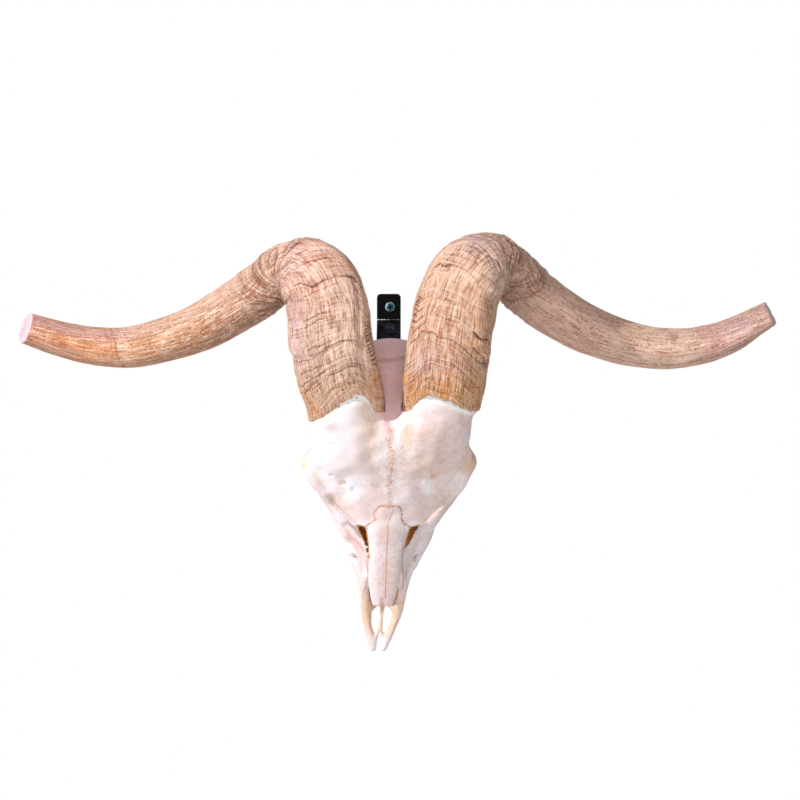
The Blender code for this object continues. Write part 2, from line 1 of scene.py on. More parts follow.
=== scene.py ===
"""Looks of an angora ram skull hung nose down: bone, horn sheaths, teeth, strap hanger and screw.

World frame: +Z up, +X to the viewer's right, the wall is the plane y = 0 and the viewer is at -Y.
Sizes are in millimetres and become metres when a mesh is made.

Skull frame: x to the right of the skull's middle line, u up from the tips of the premaxillae
along the palate, h out of the alveolar plane towards the forehead.

The bone is a signed distance worked out on a box of even points, from soft joins of rings, rods
and balls, and its skin is drawn where that distance is nought. The horns, teeth, strap and screw
are grids of two parameters.
"""

import logging
import math
from dataclasses import dataclass, field
from enum import Enum
from functools import cached_property
from typing import Dict, List, Optional, Sequence, Tuple, Union

import bmesh
import bpy
import numpy as np
from mathutils import Matrix, Vector

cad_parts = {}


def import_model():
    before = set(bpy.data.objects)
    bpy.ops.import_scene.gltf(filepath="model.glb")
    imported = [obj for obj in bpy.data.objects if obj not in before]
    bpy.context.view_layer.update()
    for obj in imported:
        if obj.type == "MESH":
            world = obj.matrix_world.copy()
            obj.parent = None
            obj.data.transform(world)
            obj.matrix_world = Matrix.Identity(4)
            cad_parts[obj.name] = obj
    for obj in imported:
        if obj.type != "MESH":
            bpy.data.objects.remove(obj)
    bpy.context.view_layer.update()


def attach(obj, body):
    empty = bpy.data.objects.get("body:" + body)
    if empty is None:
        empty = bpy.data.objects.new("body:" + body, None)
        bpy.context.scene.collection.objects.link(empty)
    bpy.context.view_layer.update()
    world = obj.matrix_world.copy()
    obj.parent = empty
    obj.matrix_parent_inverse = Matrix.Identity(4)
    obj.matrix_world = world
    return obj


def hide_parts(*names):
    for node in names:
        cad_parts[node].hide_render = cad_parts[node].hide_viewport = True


MM = 0.001
BODY = "root"
LOG = logging.getLogger("ram_skull")

Knots = Sequence[Sequence[float]]
Window = Tuple[slice, slice, slice]
Colour = Tuple[float, float, float, float]
Pin = bpy.types.NodeSocket
Value = Union[Pin, float, Sequence[float]]

# Place of the skull on the wall
TIP_Z = -260.6
ALVEOLAR_Y = -14.0
MIDLINE_U = (0.0, 13.0, 24.0, 34.0, 45.0, 90.0, 117.0, 149.0, 186.0, 238.0)
MIDLINE_X = (-8.0, -7.2, -5.9, -4.9, -4.1, -1.8, 0.2, 0.6, 2.4, 1.6)

# Horn sheath over its bony core
HORN_FINE = 400
HORN_SQUARE = 2.7
KEEL_WIDE = 0.42
SHEATH_WALL = 3.6
EDGE_WALL = 1.5
WALL_GROWS = 12.0
CORE_GAP = 0.9
POCKET_TO = 0.25
CORE_TO = 0.24
SEAT_TO = 0.42
SEAT_STEP = 3

# Factor and both colours among the inputs of a Mix node
MIX_SOCKETS = (0, 6, 7)


def srgb(red: float, green: float, blue: float) -> Colour:
    """Linear colour with full alpha of a colour given as red, green and blue from 0 to 255."""
    parts = [v / 255 for v in (red, green, blue)]
    return (*(p / 12.92 if p <= 0.04045 else ((p + 0.055) / 1.055) ** 2.4 for p in parts), 1.0)


def smooth_path(points: Knots, places: np.ndarray) -> np.ndarray:
    """Catmull-Rom curve: each span is the cubic through its ends with the slopes of its neighbours.

    Args:
        points: the knots, one row each, any number of columns.
        places: where to read the curve, from 0 at the first knot to 1 at the last.

    Returns:
        One row of columns for each place.
    """
    p = np.array(points, dtype=float)
    ends = np.vstack([2 * p[0] - p[1], p, 2 * p[-1] - p[-2]])
    t = np.asarray(places) * (len(p) - 1.0)
    k = np.clip(np.floor(t).astype(int), 0, len(p) - 2)
    f = (t - k)[..., None]
    a, b, c, d = ends[k], ends[k + 1], ends[k + 2], ends[k + 3]
    bend = (2 * a - 5 * b + 4 * c - d) * f**2 + (3 * b - a - 3 * c + d) * f**3
    return 0.5 * (2 * b + (c - a) * f + bend)


def full_turn(count: int) -> np.ndarray:
    """Angles evenly round a circle, in radians."""
    return np.linspace(0, 2 * math.pi, count, endpoint=False)


def superellipse(angle: np.ndarray, exponent: float) -> Tuple[np.ndarray, np.ndarray]:
    """Cosine and sine of the angle, each raised to the exponent with its sign kept."""
    c, s = np.cos(angle), np.sin(angle)
    return np.sign(c) * np.abs(c) ** exponent, np.sign(s) * np.abs(s) ** exponent


def ease(value: np.ndarray, low: float, high: float) -> np.ndarray:
    """Smooth step: 0 at low, 1 at high and 3 t squared less 2 t cubed between them."""
    t = np.clip((value - low) / (high - low), 0, 1)
    return t * t * (3 - 2 * t)


def fall(value: np.ndarray, full: float, gone: float) -> np.ndarray:
    """Smooth step down: 1 until full and 0 from gone on."""
    return ease(-value, -gone, -full)


def band(value: np.ndarray, low: float, full: float, last: float, gone: float) -> np.ndarray:
    """Smooth step up from low to full and down again from last to gone."""
    return ease(value, low, full) * fall(value, last, gone)


def bell(x: np.ndarray, u: np.ndarray, row: Sequence[float]) -> np.ndarray:
    """Bell over the bone's face: amount times e to minus the squares of the scaled distances.

    Args:
        x, u: where to read it.
        row: its middle's x and u, its radii along them and its amount.

    Returns:
        Its value at each point.
    """
    x0, u0, across, up, amount = row
    return amount * np.exp(-((x - x0) / across) ** 2 - ((u - u0) / up) ** 2)


def soft_min(a: np.ndarray, b: np.ndarray, soft: float) -> np.ndarray:
    """Smaller of two distances, with the crease between them filled by a parabola.

    Args:
        a, b: the distances.
        soft: the difference under which the crease is filled.

    Returns:
        The joined distance.
    """
    if soft <= 0:
        return np.minimum(a, b)
    near = np.maximum(soft - np.abs(a - b), 0) / soft
    return np.minimum(a, b) - near * near * soft / 4


def midline(u: np.ndarray) -> np.ndarray:
    """How far the skull's middle lies to the viewer's right at height u."""
    return np.interp(u, MIDLINE_U, MIDLINE_X)


def skull_to_world(spots: np.ndarray) -> np.ndarray:
    """World millimetres of skull points: u stands up, h comes towards the viewer."""
    x, u, h = spots.T
    return np.stack([x + midline(u), ALVEOLAR_Y - h, TIP_Z + u], axis=1)


def sheath_wall(above: np.ndarray) -> np.ndarray:
    """Thickness of a sheath's wall, which grows from its lower edge on."""
    return EDGE_WALL + (SHEATH_WALL - EDGE_WALL) * ease(above, 0, WALL_GROWS)


def wander(spots: np.ndarray, size: float, seed: int, waves: int = 10) -> np.ndarray:
    """Smooth random value about 0 and mostly within 1: a sum of sine waves in random directions.

    Args:
        spots: points, one row each.
        size: length of a typical wave, in the points' own unit.
        seed: starts the random directions and phases, the same each run.
        waves: how many sine waves are added.

    Returns:
        One value a point.
    """
    rng = np.random.default_rng(seed)
    aim = rng.normal(size=(waves, spots.shape[-1]))
    aim /= np.linalg.norm(aim, axis=1, keepdims=True)
    pace = 2 * math.pi / size * rng.uniform(0.6, 1.5, waves)
    phase = rng.uniform(0, 2 * math.pi, waves)
    return np.sin(spots @ (aim * pace[:, None]).T + phase).sum(axis=-1) * math.sqrt(1.2 / waves)


def line_distance(spots: np.ndarray, line: Knots) -> Tuple[np.ndarray, np.ndarray, np.ndarray]:
    """Nearest way from flat points to an open line of straight spans.

    The foot of the perpendicular on each span is kept within the span, and the nearest foot wins.

    Args:
        spots: points, two columns.
        line: the line's corners in order.

    Returns:
        The distance, positive on the right of the line's run and negative on its left, how far
        along the line the foot lies, and how far the point lies past an end of the line.
    """
    knots = np.array(line, dtype=float)
    start, run = knots[:-1], np.diff(knots, axis=0)
    long = np.linalg.norm(run, axis=1)
    rel = spots[:, None, :] - start[None]
    share = (rel * run).sum(axis=2) / long**2
    held = np.clip(share, 0, 1)
    off = rel - held[..., None] * run
    far = np.linalg.norm(off, axis=2)
    best = far.argmin(axis=1)
    rows = np.arange(len(spots))
    cross = run[best, 1] * rel[rows, best, 0] - run[best, 0] * rel[rows, best, 1]
    past = np.zeros(len(spots))
    first, last = best == 0, best == len(start) - 1
    past = np.where(first, np.maximum(-share[rows, best], 0) * long[best], past)
    past = np.where(last, np.maximum(past, (share[rows, best] - 1) * long[best]), past)
    walked = np.concatenate([[0.0], np.cumsum(long)])[best] + held[rows, best] * long[best]
    return np.sign(cross) * far[rows, best], walked, past


@dataclass(frozen=True)
class HornLine:
    """Middle line, section and base edge of one horn.

    Place 0 is deep in the forehead and 1 the cut tip. Angle 0 is the inner side and 90 degrees
    the front.
    """

    side: float
    middle: Knots
    edge: Sequence[float]
    edge_deg: Sequence[float] = (0, 35, 50, 64, 76, 90, 110, 130, 150, 180, 225, 270, 315, 360)
    breadth: Sequence[float] = (
        26.0, 27.0, 28.4, 29.8, 29.8, 29.4, 27.4, 22.5, 20.0, 19.6, 18.8, 18.0, 16.4, 15.4, 14.2,
        13.0, 11.6)
    depth: Sequence[float] = (
        20.0, 21.0, 22.0, 22.5, 22.5, 22.5, 22.0, 22.0, 21.0, 20.0, 19.0, 18.0, 16.5, 15.0, 13.5,
        12.0, 10.5)
    keel_deg: Sequence[float] = (
        38, 38, 38, 38, 40, 44, 50, 60, 72, 82, 88, 92, 95, 98, 100, 100, 100)
    keel_rise: Sequence[float] = (
        0.10, 0.10, 0.10, 0.09, 0.08, 0.08, 0.08, 0.08, 0.08, 0.08, 0.07, 0.06, 0.05, 0.04, 0.03,
        0.02, 0.02)

    @cached_property
    def path(self) -> np.ndarray:
        """Points of the middle line, evenly placed from 0 to 1."""
        return smooth_path(self.middle, np.linspace(0, 1, HORN_FINE))

    @cached_property
    def frame(self) -> Tuple[np.ndarray, np.ndarray, np.ndarray]:
        """Directions at each path point.

        Returns:
            Unit vectors along the horn, towards the viewer and across it.
        """
        along = np.gradient(self.path, axis=0)
        along /= np.linalg.norm(along, axis=1, keepdims=True)
        view = np.array([0.0, -1.0, 0.0])
        front = view - (along @ view)[:, None] * along
        front /= np.linalg.norm(front, axis=1, keepdims=True)
        return along, front, np.cross(along, front)

    @cached_property
    def length(self) -> float:
        """Length of the middle line."""
        return float(np.linalg.norm(np.diff(self.path, axis=0), axis=1).sum())

    def size(self, values: Sequence[float], places: np.ndarray) -> np.ndarray:
        """One of the section's tables, read smoothly at places along the horn."""
        return smooth_path([(v,) for v in values], places)[..., 0]

    def edge_at(self, angles: np.ndarray) -> np.ndarray:
        """Place of the sheath's lower edge at each angle round the horn."""
        return np.interp(np.degrees(angles) % 360, self.edge_deg, self.edge)

    def above(self, places: np.ndarray, angles: np.ndarray) -> np.ndarray:
        """Millimetres beyond the sheath's lower edge, towards the tip."""
        return (places - self.edge_at(angles)) * self.length

    def swell(self, places: np.ndarray, angles: np.ndarray) -> np.ndarray:
        """How much the keel swells the section: a bell over the angle from the keel."""
        off = np.angle(np.exp(1j * (angles - np.radians(self.size(self.keel_deg, places)))))
        return 1 + self.size(self.keel_rise, places) * np.exp(-((off / KEEL_WIDE) ** 2))

    def points(self, places: np.ndarray, angles: np.ndarray, grow: np.ndarray) -> np.ndarray:
        """World points of the horn's skin: a rounded oblong section carried along the path.

        Args:
            places: places along the horn, 0 to 1.
            angles: angles round it, in radians.
            grow: how far the point lies outside the plain skin.

        Returns:
            World millimetres, with the arrays' common shape and a last axis of three.
        """
        places, angles, grow = np.broadcast_arrays(np.clip(places, 0, 1), angles, grow)
        at = places * (HORN_FINE - 1)
        _, front, across = self.frame

        def read(table: np.ndarray) -> np.ndarray:
            """The table's three columns at each place."""
            steps = np.arange(HORN_FINE)
            return np.stack([np.interp(at, steps, column) for column in table.T], axis=-1)

        broad, deep = superellipse(angles, 2 / HORN_SQUARE)
        swell = self.swell(places, angles)
        broad = broad * (self.size(self.breadth, places) + grow) * swell
        deep = deep * (self.size(self.depth, places) + grow) * swell
        return (read(self.path) - self.side * read(across) * broad[..., None]
                + read(front) * deep[..., None])

    def locate(self, spots: np.ndarray) -> Tuple[np.ndarray, np.ndarray, np.ndarray]:
        """Place along the horn, angle round it and distance outside its skin.

        The nearest path point gives the place. The distance is measured along the ray from the
        middle line, against the oblong section where that ray leaves it.

        Args:
            spots: world points near the horn's lower half, one row each.

        Returns:
            The three values for each point.
        """
        thin = slice(0, int(HORN_FINE * SEAT_TO), SEAT_STEP)
        along, front, across = (part[thin] for part in self.frame)
        line = self.path[thin]
        pace = np.linalg.norm(np.gradient(self.path, axis=0), axis=1)[thin] * (HORN_FINE - 1)
        gap = (line**2).sum(axis=1) - 2 * spots @ line.T
        near = gap.argmin(axis=1)
        rel = spots - line[near]
        run = (rel * along[near]).sum(axis=1)
        place = near * SEAT_STEP / (HORN_FINE - 1) + run / pace[near]
        a = -self.side * (rel * across[near]).sum(axis=1)
        b = (rel * front[near]).sum(axis=1)
        held = np.clip(place, 0, 1)
        broad = self.size(self.breadth, held)
        deep = self.size(self.depth, held)
        side, rise = a / broad, b / deep
        angle = np.arctan2(np.sign(rise) * np.abs(rise) ** (HORN_SQUARE / 2),
                           np.sign(side) * np.abs(side) ** (HORN_SQUARE / 2))
        full = (np.abs(side) ** HORN_SQUARE + np.abs(rise) ** HORN_SQUARE) ** (1 / HORN_SQUARE)
        return place, angle, np.hypot(a, b) * (1 - self.swell(held, angle) / np.maximum(full, 0.02))


LEFT_HORN = HornLine(-1.0, (
    (-29.5, -70.0, -107.0), (-31.0, -84.0, -88.0), (-32.4, -97.0, -66.5),
    (-37.5, -113.0, -45.0), (-41.5, -126.0, -21.5), (-43.8, -132.0, 1.0),
    (-49.5, -129.0, 18.0), (-60.5, -114.0, 28.0), (-77.5, -93.0, 26.5),
    (-98.5, -77.0, 13.0), (-120.0, -67.0, 0.0), (-141.5, -60.0, -11.5),
    (-169.5, -54.0, -21.0), (-197.5, -51.0, -26.5), (-226.0, -51.0, -25.0),
    (-250.0, -54.0, -19.5), (-276.5, -58.0, -11.0),
), (0.100, 0.118, 0.124, 0.160, 0.170, 0.162, 0.142, 0.120, 0.104, 0.088, 0.072, 0.064, 0.078,
    0.100))
RIGHT_HORN = HornLine(1.0, (
    (35.0, -70.0, -107.0), (37.0, -84.0, -88.0), (40.0, -97.0, -66.5),
    (42.5, -113.0, -45.0), (45.2, -126.0, -21.5), (49.6, -132.0, 2.0),
    (57.0, -129.0, 20.5), (70.0, -114.0, 32.0), (87.0, -93.0, 28.5),
    (107.0, -77.0, 12.5), (130.0, -67.0, -3.0), (152.5, -60.0, -14.5),
    (182.0, -54.0, -24.0), (213.0, -51.0, -27.5), (238.0, -51.0, -24.5),
    (261.5, -54.0, -16.5), (289.5, -58.0, -2.5),
), (0.098, 0.116, 0.126, 0.162, 0.174, 0.168, 0.154, 0.142, 0.134, 0.126, 0.092, 0.070, 0.076,
    0.098))


class Form:
    """A form in the skull frame. Its distance is in about millimetres and negative inside."""

    def reach(self) -> Tuple[np.ndarray, np.ndarray]:
        """Lowest and highest corner of the form."""
        raise NotImplementedError

    def distance(self, x: np.ndarray, u: np.ndarray, h: np.ndarray) -> np.ndarray:
        """Distance to the form.

        Args:
            x, u, h: the points, as arrays of one shape.

        Returns:
            The distance at each point, in an array of that shape.
        """
        raise NotImplementedError


@dataclass(frozen=True)
class Rod(Form):
    """Round tube through skull points x, u, h and radius; flat below 1 thins it along h."""

    knots: Knots
    flat: float = 1.0
    steps: int = 6

    @cached_property
    def line(self) -> np.ndarray:
        """The rod's middle line and radius, a few rows to each knot."""
        return smooth_path(self.knots, np.linspace(0, 1, self.steps * (len(self.knots) - 1) + 1))

    def reach(self) -> Tuple[np.ndarray, np.ndarray]:
        """Lowest and highest corner of the rod."""
        radius = self.line[:, 3:] * (1, 1, max(self.flat, 1.0))
        return (self.line[:, :3] - radius).min(axis=0), (self.line[:, :3] + radius).max(axis=0)

    def distance(self, x: np.ndarray, u: np.ndarray, h: np.ndarray) -> np.ndarray:
        """Distance to the nearest span less the radius there, with h divided by the flatness.

        Args:
            x, u, h: the points, as arrays of one shape.

        Returns:
            The distance at each point.
        """
        line = self.line / (1, 1, self.flat, 1)
        h = h / self.flat
        best = None
        for a, b in zip(line[:-1], line[1:]):
            run = b - a
            rel = (x - a[0], u - a[1], h - a[2])
            share = sum(r * s for r, s in zip(rel, run[:3])) / max(float(run[:3] @ run[:3]), 1e-9)
            share = np.clip(share, 0, 1)
            off = sum((r - share * s) ** 2 for r, s in zip(rel, run[:3]))
            far = np.sqrt(off) - (a[3] + share * run[3])
            best = far if best is None else np.minimum(best, far)
        return best * min(self.flat, 1.0)


@dataclass(frozen=True)
class Ball(Form):
    """Ellipsoid at skull point x, u, h with its radii; a lean tips its top to the forehead."""

    spot: Sequence[float]
    across: float
    up: float
    out: float
    lean: float = 0.0

    def reach(self) -> Tuple[np.ndarray, np.ndarray]:
        """Lowest and highest corner of the ball, with room for its lean.

        Returns:
            The two corners.
        """
        large = max(self.up, self.out) if self.lean else 0.0
        radii = np.array((self.across, max(self.up, large), max(self.out, large)))
        return np.array(self.spot) - radii, np.array(self.spot) + radii

    def distance(self, x: np.ndarray, u: np.ndarray, h: np.ndarray) -> np.ndarray:
        """Distance to the ellipsoid: the scaled radius times its excess, over its slope.

        Args:
            x, u, h: the points, as arrays of one shape.

        Returns:
            The distance at each point.
        """
        c, s = math.cos(math.radians(self.lean)), math.sin(math.radians(self.lean))
        dx, du, dh = x - self.spot[0], u - self.spot[1], h - self.spot[2]
        out, up = c * -dh + s * du, s * dh + c * du
        full = np.sqrt((dx / self.across) ** 2 + (out / self.out) ** 2 + (up / self.up) ** 2)
        slope = np.sqrt((dx / self.across**2) ** 2 + (out / self.out**2) ** 2
                        + (up / self.up**2) ** 2)
        return full * (full - 1) / np.maximum(slope, 1e-6)


@dataclass(frozen=True)
class Wedge(Form):
    """A ragged hole with a many-cornered outline of x and u in clockwise order, from h to h."""

    corners: Knots
    low: float
    high: float
    seed: int
    ragged: float = 0.35
    pitch: float = 2.6

    def reach(self) -> Tuple[np.ndarray, np.ndarray]:
        """Lowest and highest x, u and h."""
        flat = np.array(self.corners)
        return np.array((*flat.min(axis=0), self.low)), np.array((*flat.max(axis=0), self.high))

    def distance(self, x: np.ndarray, u: np.ndarray, h: np.ndarray) -> np.ndarray:
        """Distance to the outline, negative where a ray meets it an odd number of times.

        Args:
            x, u, h: the points, as arrays of one shape.

        Returns:
            The distance at each point, with a waver.
        """
        x, u, h = np.broadcast_arrays(x, u, h)
        flat = np.stack([x.ravel(), u.ravel()], axis=1)
        loop = np.array([*self.corners, self.corners[0]], dtype=float)
        far, _, _ = line_distance(flat, loop)
        ahead = loop[1:] - loop[:-1]
        rel = flat[:, None] - loop[:-1]
        crosses = (rel[..., 1] >= 0) != (rel[..., 1] >= ahead[:, 1])
        slope = ahead[:, 0] / np.where(np.abs(ahead[:, 1]) < 1e-9, 1e-9, ahead[:, 1])
        right = rel[..., 0] < rel[..., 1] * slope
        within = (crosses & right).sum(axis=1) % 2 == 1
        far = np.where(within, -np.abs(far), np.abs(far))
        far += self.ragged * wander(flat, self.pitch, self.seed)
        return np.maximum(far.reshape(x.shape), np.maximum(self.low - h, h - self.high))


@dataclass(frozen=True)
class Rings(Form):
    """A form given by rings across the skull, each row starting with its height u."""

    rows: Knots
    soften: int = 9

    def read(self, u: np.ndarray, column: int) -> np.ndarray:
        """A column of the rows, eased by a running mean over the softening length.

        Args:
            u: the heights to read it at.
            column: the column's number.

        Returns:
            Its value at each height.
        """
        table = np.array(self.rows, dtype=float)
        fine = np.arange(table[0, 0] - self.soften, table[-1, 0] + self.soften + 1)
        raw = np.interp(fine, table[:, 0], table[:, column])
        mean = np.convolve(np.pad(raw, self.soften // 2, "edge"), np.ones(self.soften), "valid")
        return np.interp(u, fine, mean / self.soften)

    def fit(self, full: np.ndarray, u: np.ndarray, step: float) -> np.ndarray:
        """Distance from a scaled radius: its excess over 1 by its slope, closed at both ends.

        Args:
            full: the scaled radius, 1 on the form's skin.
            u: the height of each point.
            step: the gap between points.

        Returns:
            The distance at each point.
        """
        slope = np.sqrt(sum(g * g for g in np.gradient(full, step)))
        body = (full - 1) / np.clip(slope, 0.012, None)
        return np.maximum(body, np.maximum(self.rows[0][0] - u, u - self.rows[-1][0]))


@dataclass(frozen=True)
class Slab(Rings):
    """Rounded trapezoids: rows of u, upper half width, upper h, lower half width, lower h."""

    step: float = 1.3
    square: float = 3.0

    def reach(self) -> Tuple[np.ndarray, np.ndarray]:
        """Lowest and highest corner of the slab.

        Returns:
            The two corners.
        """
        t = np.array(self.rows, dtype=float)
        half = max(t[:, 1].max(), t[:, 3].max())
        return (np.array((-half, t[0, 0], t[:, 4].min())),
                np.array((half, t[-1, 0], t[:, 2].max())))

    def distance(self, x: np.ndarray, u: np.ndarray, h: np.ndarray) -> np.ndarray:
        """Root of the powers of side over half width and of rise over half height, less 1.

        Args:
            x, u, h: the points, as arrays of one shape.

        Returns:
            The distance at each point.
        """
        top_half, top, low_half, low = (self.read(u, k) for k in (1, 2, 3, 4))
        rise = (h - (top + low) / 2) / ((top - low) / 2)
        half = low_half + (top_half - low_half) * (np.clip(rise, -1, 1) + 1) / 2
        full = (np.abs(x / half) ** self.square + np.abs(rise) ** self.square)
        return self.fit(full ** (1 / self.square), u, self.step)


@dataclass(frozen=True)
class Brow(Rings):
    """Domed plate of the forehead: rows of u, half width, h of the crown and thickness."""

    step: float = 1.3
    drop: float = 16.0
    half: float = 60.0
    power: float = 2.5
    rim: float = 6.0

    def reach(self) -> Tuple[np.ndarray, np.ndarray]:
        """Lowest and highest corner of the plate.

        Returns:
            The two corners.
        """
        t = np.array(self.rows, dtype=float)
        low = (t[:, 2] - t[:, 3]).min() - self.drop * 1.3
        return (np.array((-t[:, 1].max(), t[0, 0], low)),
                np.array((t[:, 1].max(), t[-1, 0], t[:, 2].max())))

    def crown(self, x: np.ndarray, u: np.ndarray) -> np.ndarray:
        """Height h of the plate's outer face: the crown less a drop that grows to the sides."""
        return self.read(u, 2) - self.drop * np.abs(x / self.half) ** self.power

    def distance(self, x: np.ndarray, u: np.ndarray, h: np.ndarray) -> np.ndarray:
        """A rounded oblong about the plate's middle surface, thin at its rims.

        Args:
            x, u, h: the points, as arrays of one shape.

        Returns:
            The distance at each point.
        """
        half, thick = self.read(u, 1), self.read(u, 3)
        side = np.clip(np.abs(x / half), 0, 1.4)
        skin = self.rim + (thick - self.rim) * np.clip(1 - side**2, 0, 1)
        rise = (h - self.crown(x, u) + skin / 2) / (skin / 2)
        full = side**2.5 + np.abs(rise) ** 2.857
        return self.fit(full ** 0.37, u, self.step)


@dataclass
class BoneField:
    """Distance to the bone, negative inside, on even points of a box of the skull frame."""

    axes: List[np.ndarray]
    values: np.ndarray

    @classmethod
    def empty(cls, low: Sequence[float], high: Sequence[float], step: float,
              far: float = 30.0) -> "BoneField":
        """A field that is far outside the bone everywhere.

        Args:
            low: lowest corner of the box.
            high: highest corner of the box.
            step: gap between points.
            far: distance to start from.

        Returns:
            The new field.
        """
        axes = [np.arange(a, b + step, step) for a, b in zip(low, high)]
        return cls(axes, np.full([len(a) for a in axes], far, dtype=np.float32))

    @property
    def step(self) -> float:
        """Gap between neighbouring points."""
        return float(self.axes[0][1] - self.axes[0][0])

    def window(self, low: Sequence[float], high: Sequence[float], spare: float) -> Window:
        """Part of the box that holds two corners.

        Args:
            low, high: the corners.
            spare: margin round them.

        Returns:
            Its slices of the three axes.
        """
        return tuple(
            slice(int(np.searchsorted(axis, a - spare)), int(np.searchsorted(axis, b + spare)))
            for axis, a, b in zip(self.axes, low, high))

    def spots(self, window: Window) -> List[np.ndarray]:
        """Coordinates in a window, as three arrays that broadcast to its shape."""
        return [axis[part].reshape([-1 if i == k else 1 for i in range(3)])
                for k, (axis, part) in enumerate(zip(self.axes, window))]

    def measure(self, form: Form, spare: float) -> Tuple[Window, np.ndarray]:
        """A form's distance in the window round it.

        Args:
            form: the form.
            spare: margin of the window.

        Returns:
            The window and the distances in it.
        """
        window = self.window(*form.reach(), spare)
        shape = [part.stop - part.start for part in window]
        x, u, h = (np.broadcast_to(axis, shape) for axis in self.spots(window))
        return window, form.distance(x, u, h)

    def join(self, form: Form, soft: float) -> None:
        """Adds a form, with a soft fillet where it meets the bone."""
        window, far = self.measure(form, soft + 3 * self.step)
        self.values[window] = soft_min(self.values[window], far, soft)

    def cut(self, form: Form, soft: float = 1.0) -> None:
        """Takes a form away, with a soft edge."""
        window, far = self.measure(form, soft + 3 * self.step)
        self.values[window] = -soft_min(-self.values[window], far, soft)

    def mirrored(self) -> "BoneField":
        """The whole field of a half whose first points lie on the middle plane."""
        x = np.concatenate([-self.axes[0][:0:-1], self.axes[0]])
        return BoneField([x, *self.axes[1:]], np.concatenate([self.values[:0:-1], self.values]))

    def read(self, spots: np.ndarray) -> np.ndarray:
        """The field between its points: the eight round each spot, weighted by nearness.

        Args:
            spots: points in the skull frame, one row each.

        Returns:
            The distance at each.
        """
        at = [np.clip((spots[:, k] - axis[0]) / self.step, 0, len(axis) - 1.001)
              for k, axis in enumerate(self.axes)]
        low = [a.astype(int) for a in at]
        part = [a - b for a, b in zip(at, low)]
        total = np.zeros(len(spots))
        for corner in np.ndindex(2, 2, 2):
            weight = np.ones(len(spots))
            for c, p in zip(corner, part):
                weight *= p if c else 1 - p
            total += weight * self.values[tuple(a + c for a, c in zip(low, corner))]
        return total

    def skin(self) -> Tuple[np.ndarray, np.ndarray]:
        """Closed skin where the field is nought.

        Each small cube that the skin passes through gets one point, the mean of the places where
        the skin crosses the cube's edges, and each crossed edge gets a quad of the four cubes
        round it.

        Returns:
            The points in the skull frame and the quads' corner numbers, turned to face outwards.
        """
        counts = [n - 1 for n in self.values.shape]
        sums = np.zeros((int(np.prod(counts)), 3))
        times = np.zeros(len(sums))
        quads = []
        for axis in range(3):
            low, high = [slice(None)] * 3, [slice(None)] * 3
            low[axis], high[axis] = slice(0, -1), slice(1, None)
            a, b = self.values[tuple(low)], self.values[tuple(high)]
            crossed = (a < 0) != (b < 0)
            node = np.argwhere(crossed)
            spot = node.astype(float)
            spot[:, axis] += a[crossed] / (a[crossed] - b[crossed])
            across, beyond = (axis + 1) % 3, (axis + 2) % 3
            ring = []
            for da, db in ((0, 0), (1, 0), (1, 1), (0, 1)):
                cube = node.copy()
                cube[:, across] -= da
                cube[:, beyond] -= db
                ring.append(np.ravel_multi_index(cube.T, counts))
                for k in range(3):
                    sums[:, k] += np.bincount(ring[-1], spot[:, k], len(sums))
                times += np.bincount(ring[-1], minlength=len(sums))
            faces = np.stack(ring, axis=1)
            outward = a[crossed] < 0
            quads.append(np.where(outward[:, None], faces, faces[:, ::-1]))
        used = np.flatnonzero(times)
        number = np.zeros(len(sums), dtype=int)
        number[used] = np.arange(len(used))
        points = sums[used] / times[used, None]
        for k, axis in enumerate(self.axes):
            points[:, k] = np.interp(points[:, k], np.arange(len(axis)), axis)
        return points, number[np.concatenate(quads)]


def quad_edges(quads: np.ndarray) -> np.ndarray:
    """Both ends of every side of every quad."""
    return np.concatenate([np.roll(quads, -k, axis=1)[:, :2] for k in range(4)])


def relaxed(points: np.ndarray, quads: np.ndarray, times: int) -> np.ndarray:
    """Points evened out: each moves half way to its neighbours' mean, then a little more back.

    Args:
        points: the skin's points.
        quads: the skin's quads.
        times: how many rounds.

    Returns:
        The moved points. The second, backward half of a round keeps the form from shrinking.
    """
    ends = quad_edges(quads)
    ends = np.concatenate([ends, ends[:, ::-1]])
    count = np.bincount(ends[:, 0], minlength=len(points))[:, None]
    for _ in range(times):
        for share in (0.5, -0.52):
            mean = np.stack([np.bincount(ends[:, 0], points[ends[:, 1], k], len(points))
                             for k in range(3)], axis=1) / count
            points = points + share * (mean - points)
    return points


def largest_body(points: np.ndarray, quads: np.ndarray) -> Tuple[np.ndarray, np.ndarray]:
    """The skin's largest connected piece; the smaller ones are left out.

    Every point takes the lowest number among its neighbours until nothing changes.

    Args:
        points: the skin's points.
        quads: the skin's quads.

    Returns:
        The points and quads that stay.
    """
    label = np.arange(len(points))
    ends = quad_edges(quads)
    while True:
        low = np.minimum(label[ends[:, 0]], label[ends[:, 1]])
        fresh = label.copy()
        np.minimum.at(fresh, ends[:, 0], low)
        np.minimum.at(fresh, ends[:, 1], low)
        fresh = fresh[fresh]
        if (fresh == label).all():
            break
        label = fresh
    keep = label == np.bincount(label).argmax()
    number = np.cumsum(keep) - 1
    return points[keep], number[quads[keep[quads[:, 0]]]]


def skin_normals(points: np.ndarray, quads: np.ndarray) -> np.ndarray:
    """Unit normals: the sum of the crossed diagonals of the quads round each point.

    Args:
        points: the skin's points.
        quads: the skin's quads.

    Returns:
        One row for each point.
    """
    cross = np.cross(points[quads[:, 2]] - points[quads[:, 0]],
                     points[quads[:, 3]] - points[quads[:, 1]])
    total = np.zeros_like(points)
    for k in range(3):
        for corner in range(4):
            total[:, k] += np.bincount(quads[:, corner], cross[:, k], len(points))
    return total / np.maximum(np.linalg.norm(total, axis=1, keepdims=True), 1e-9)


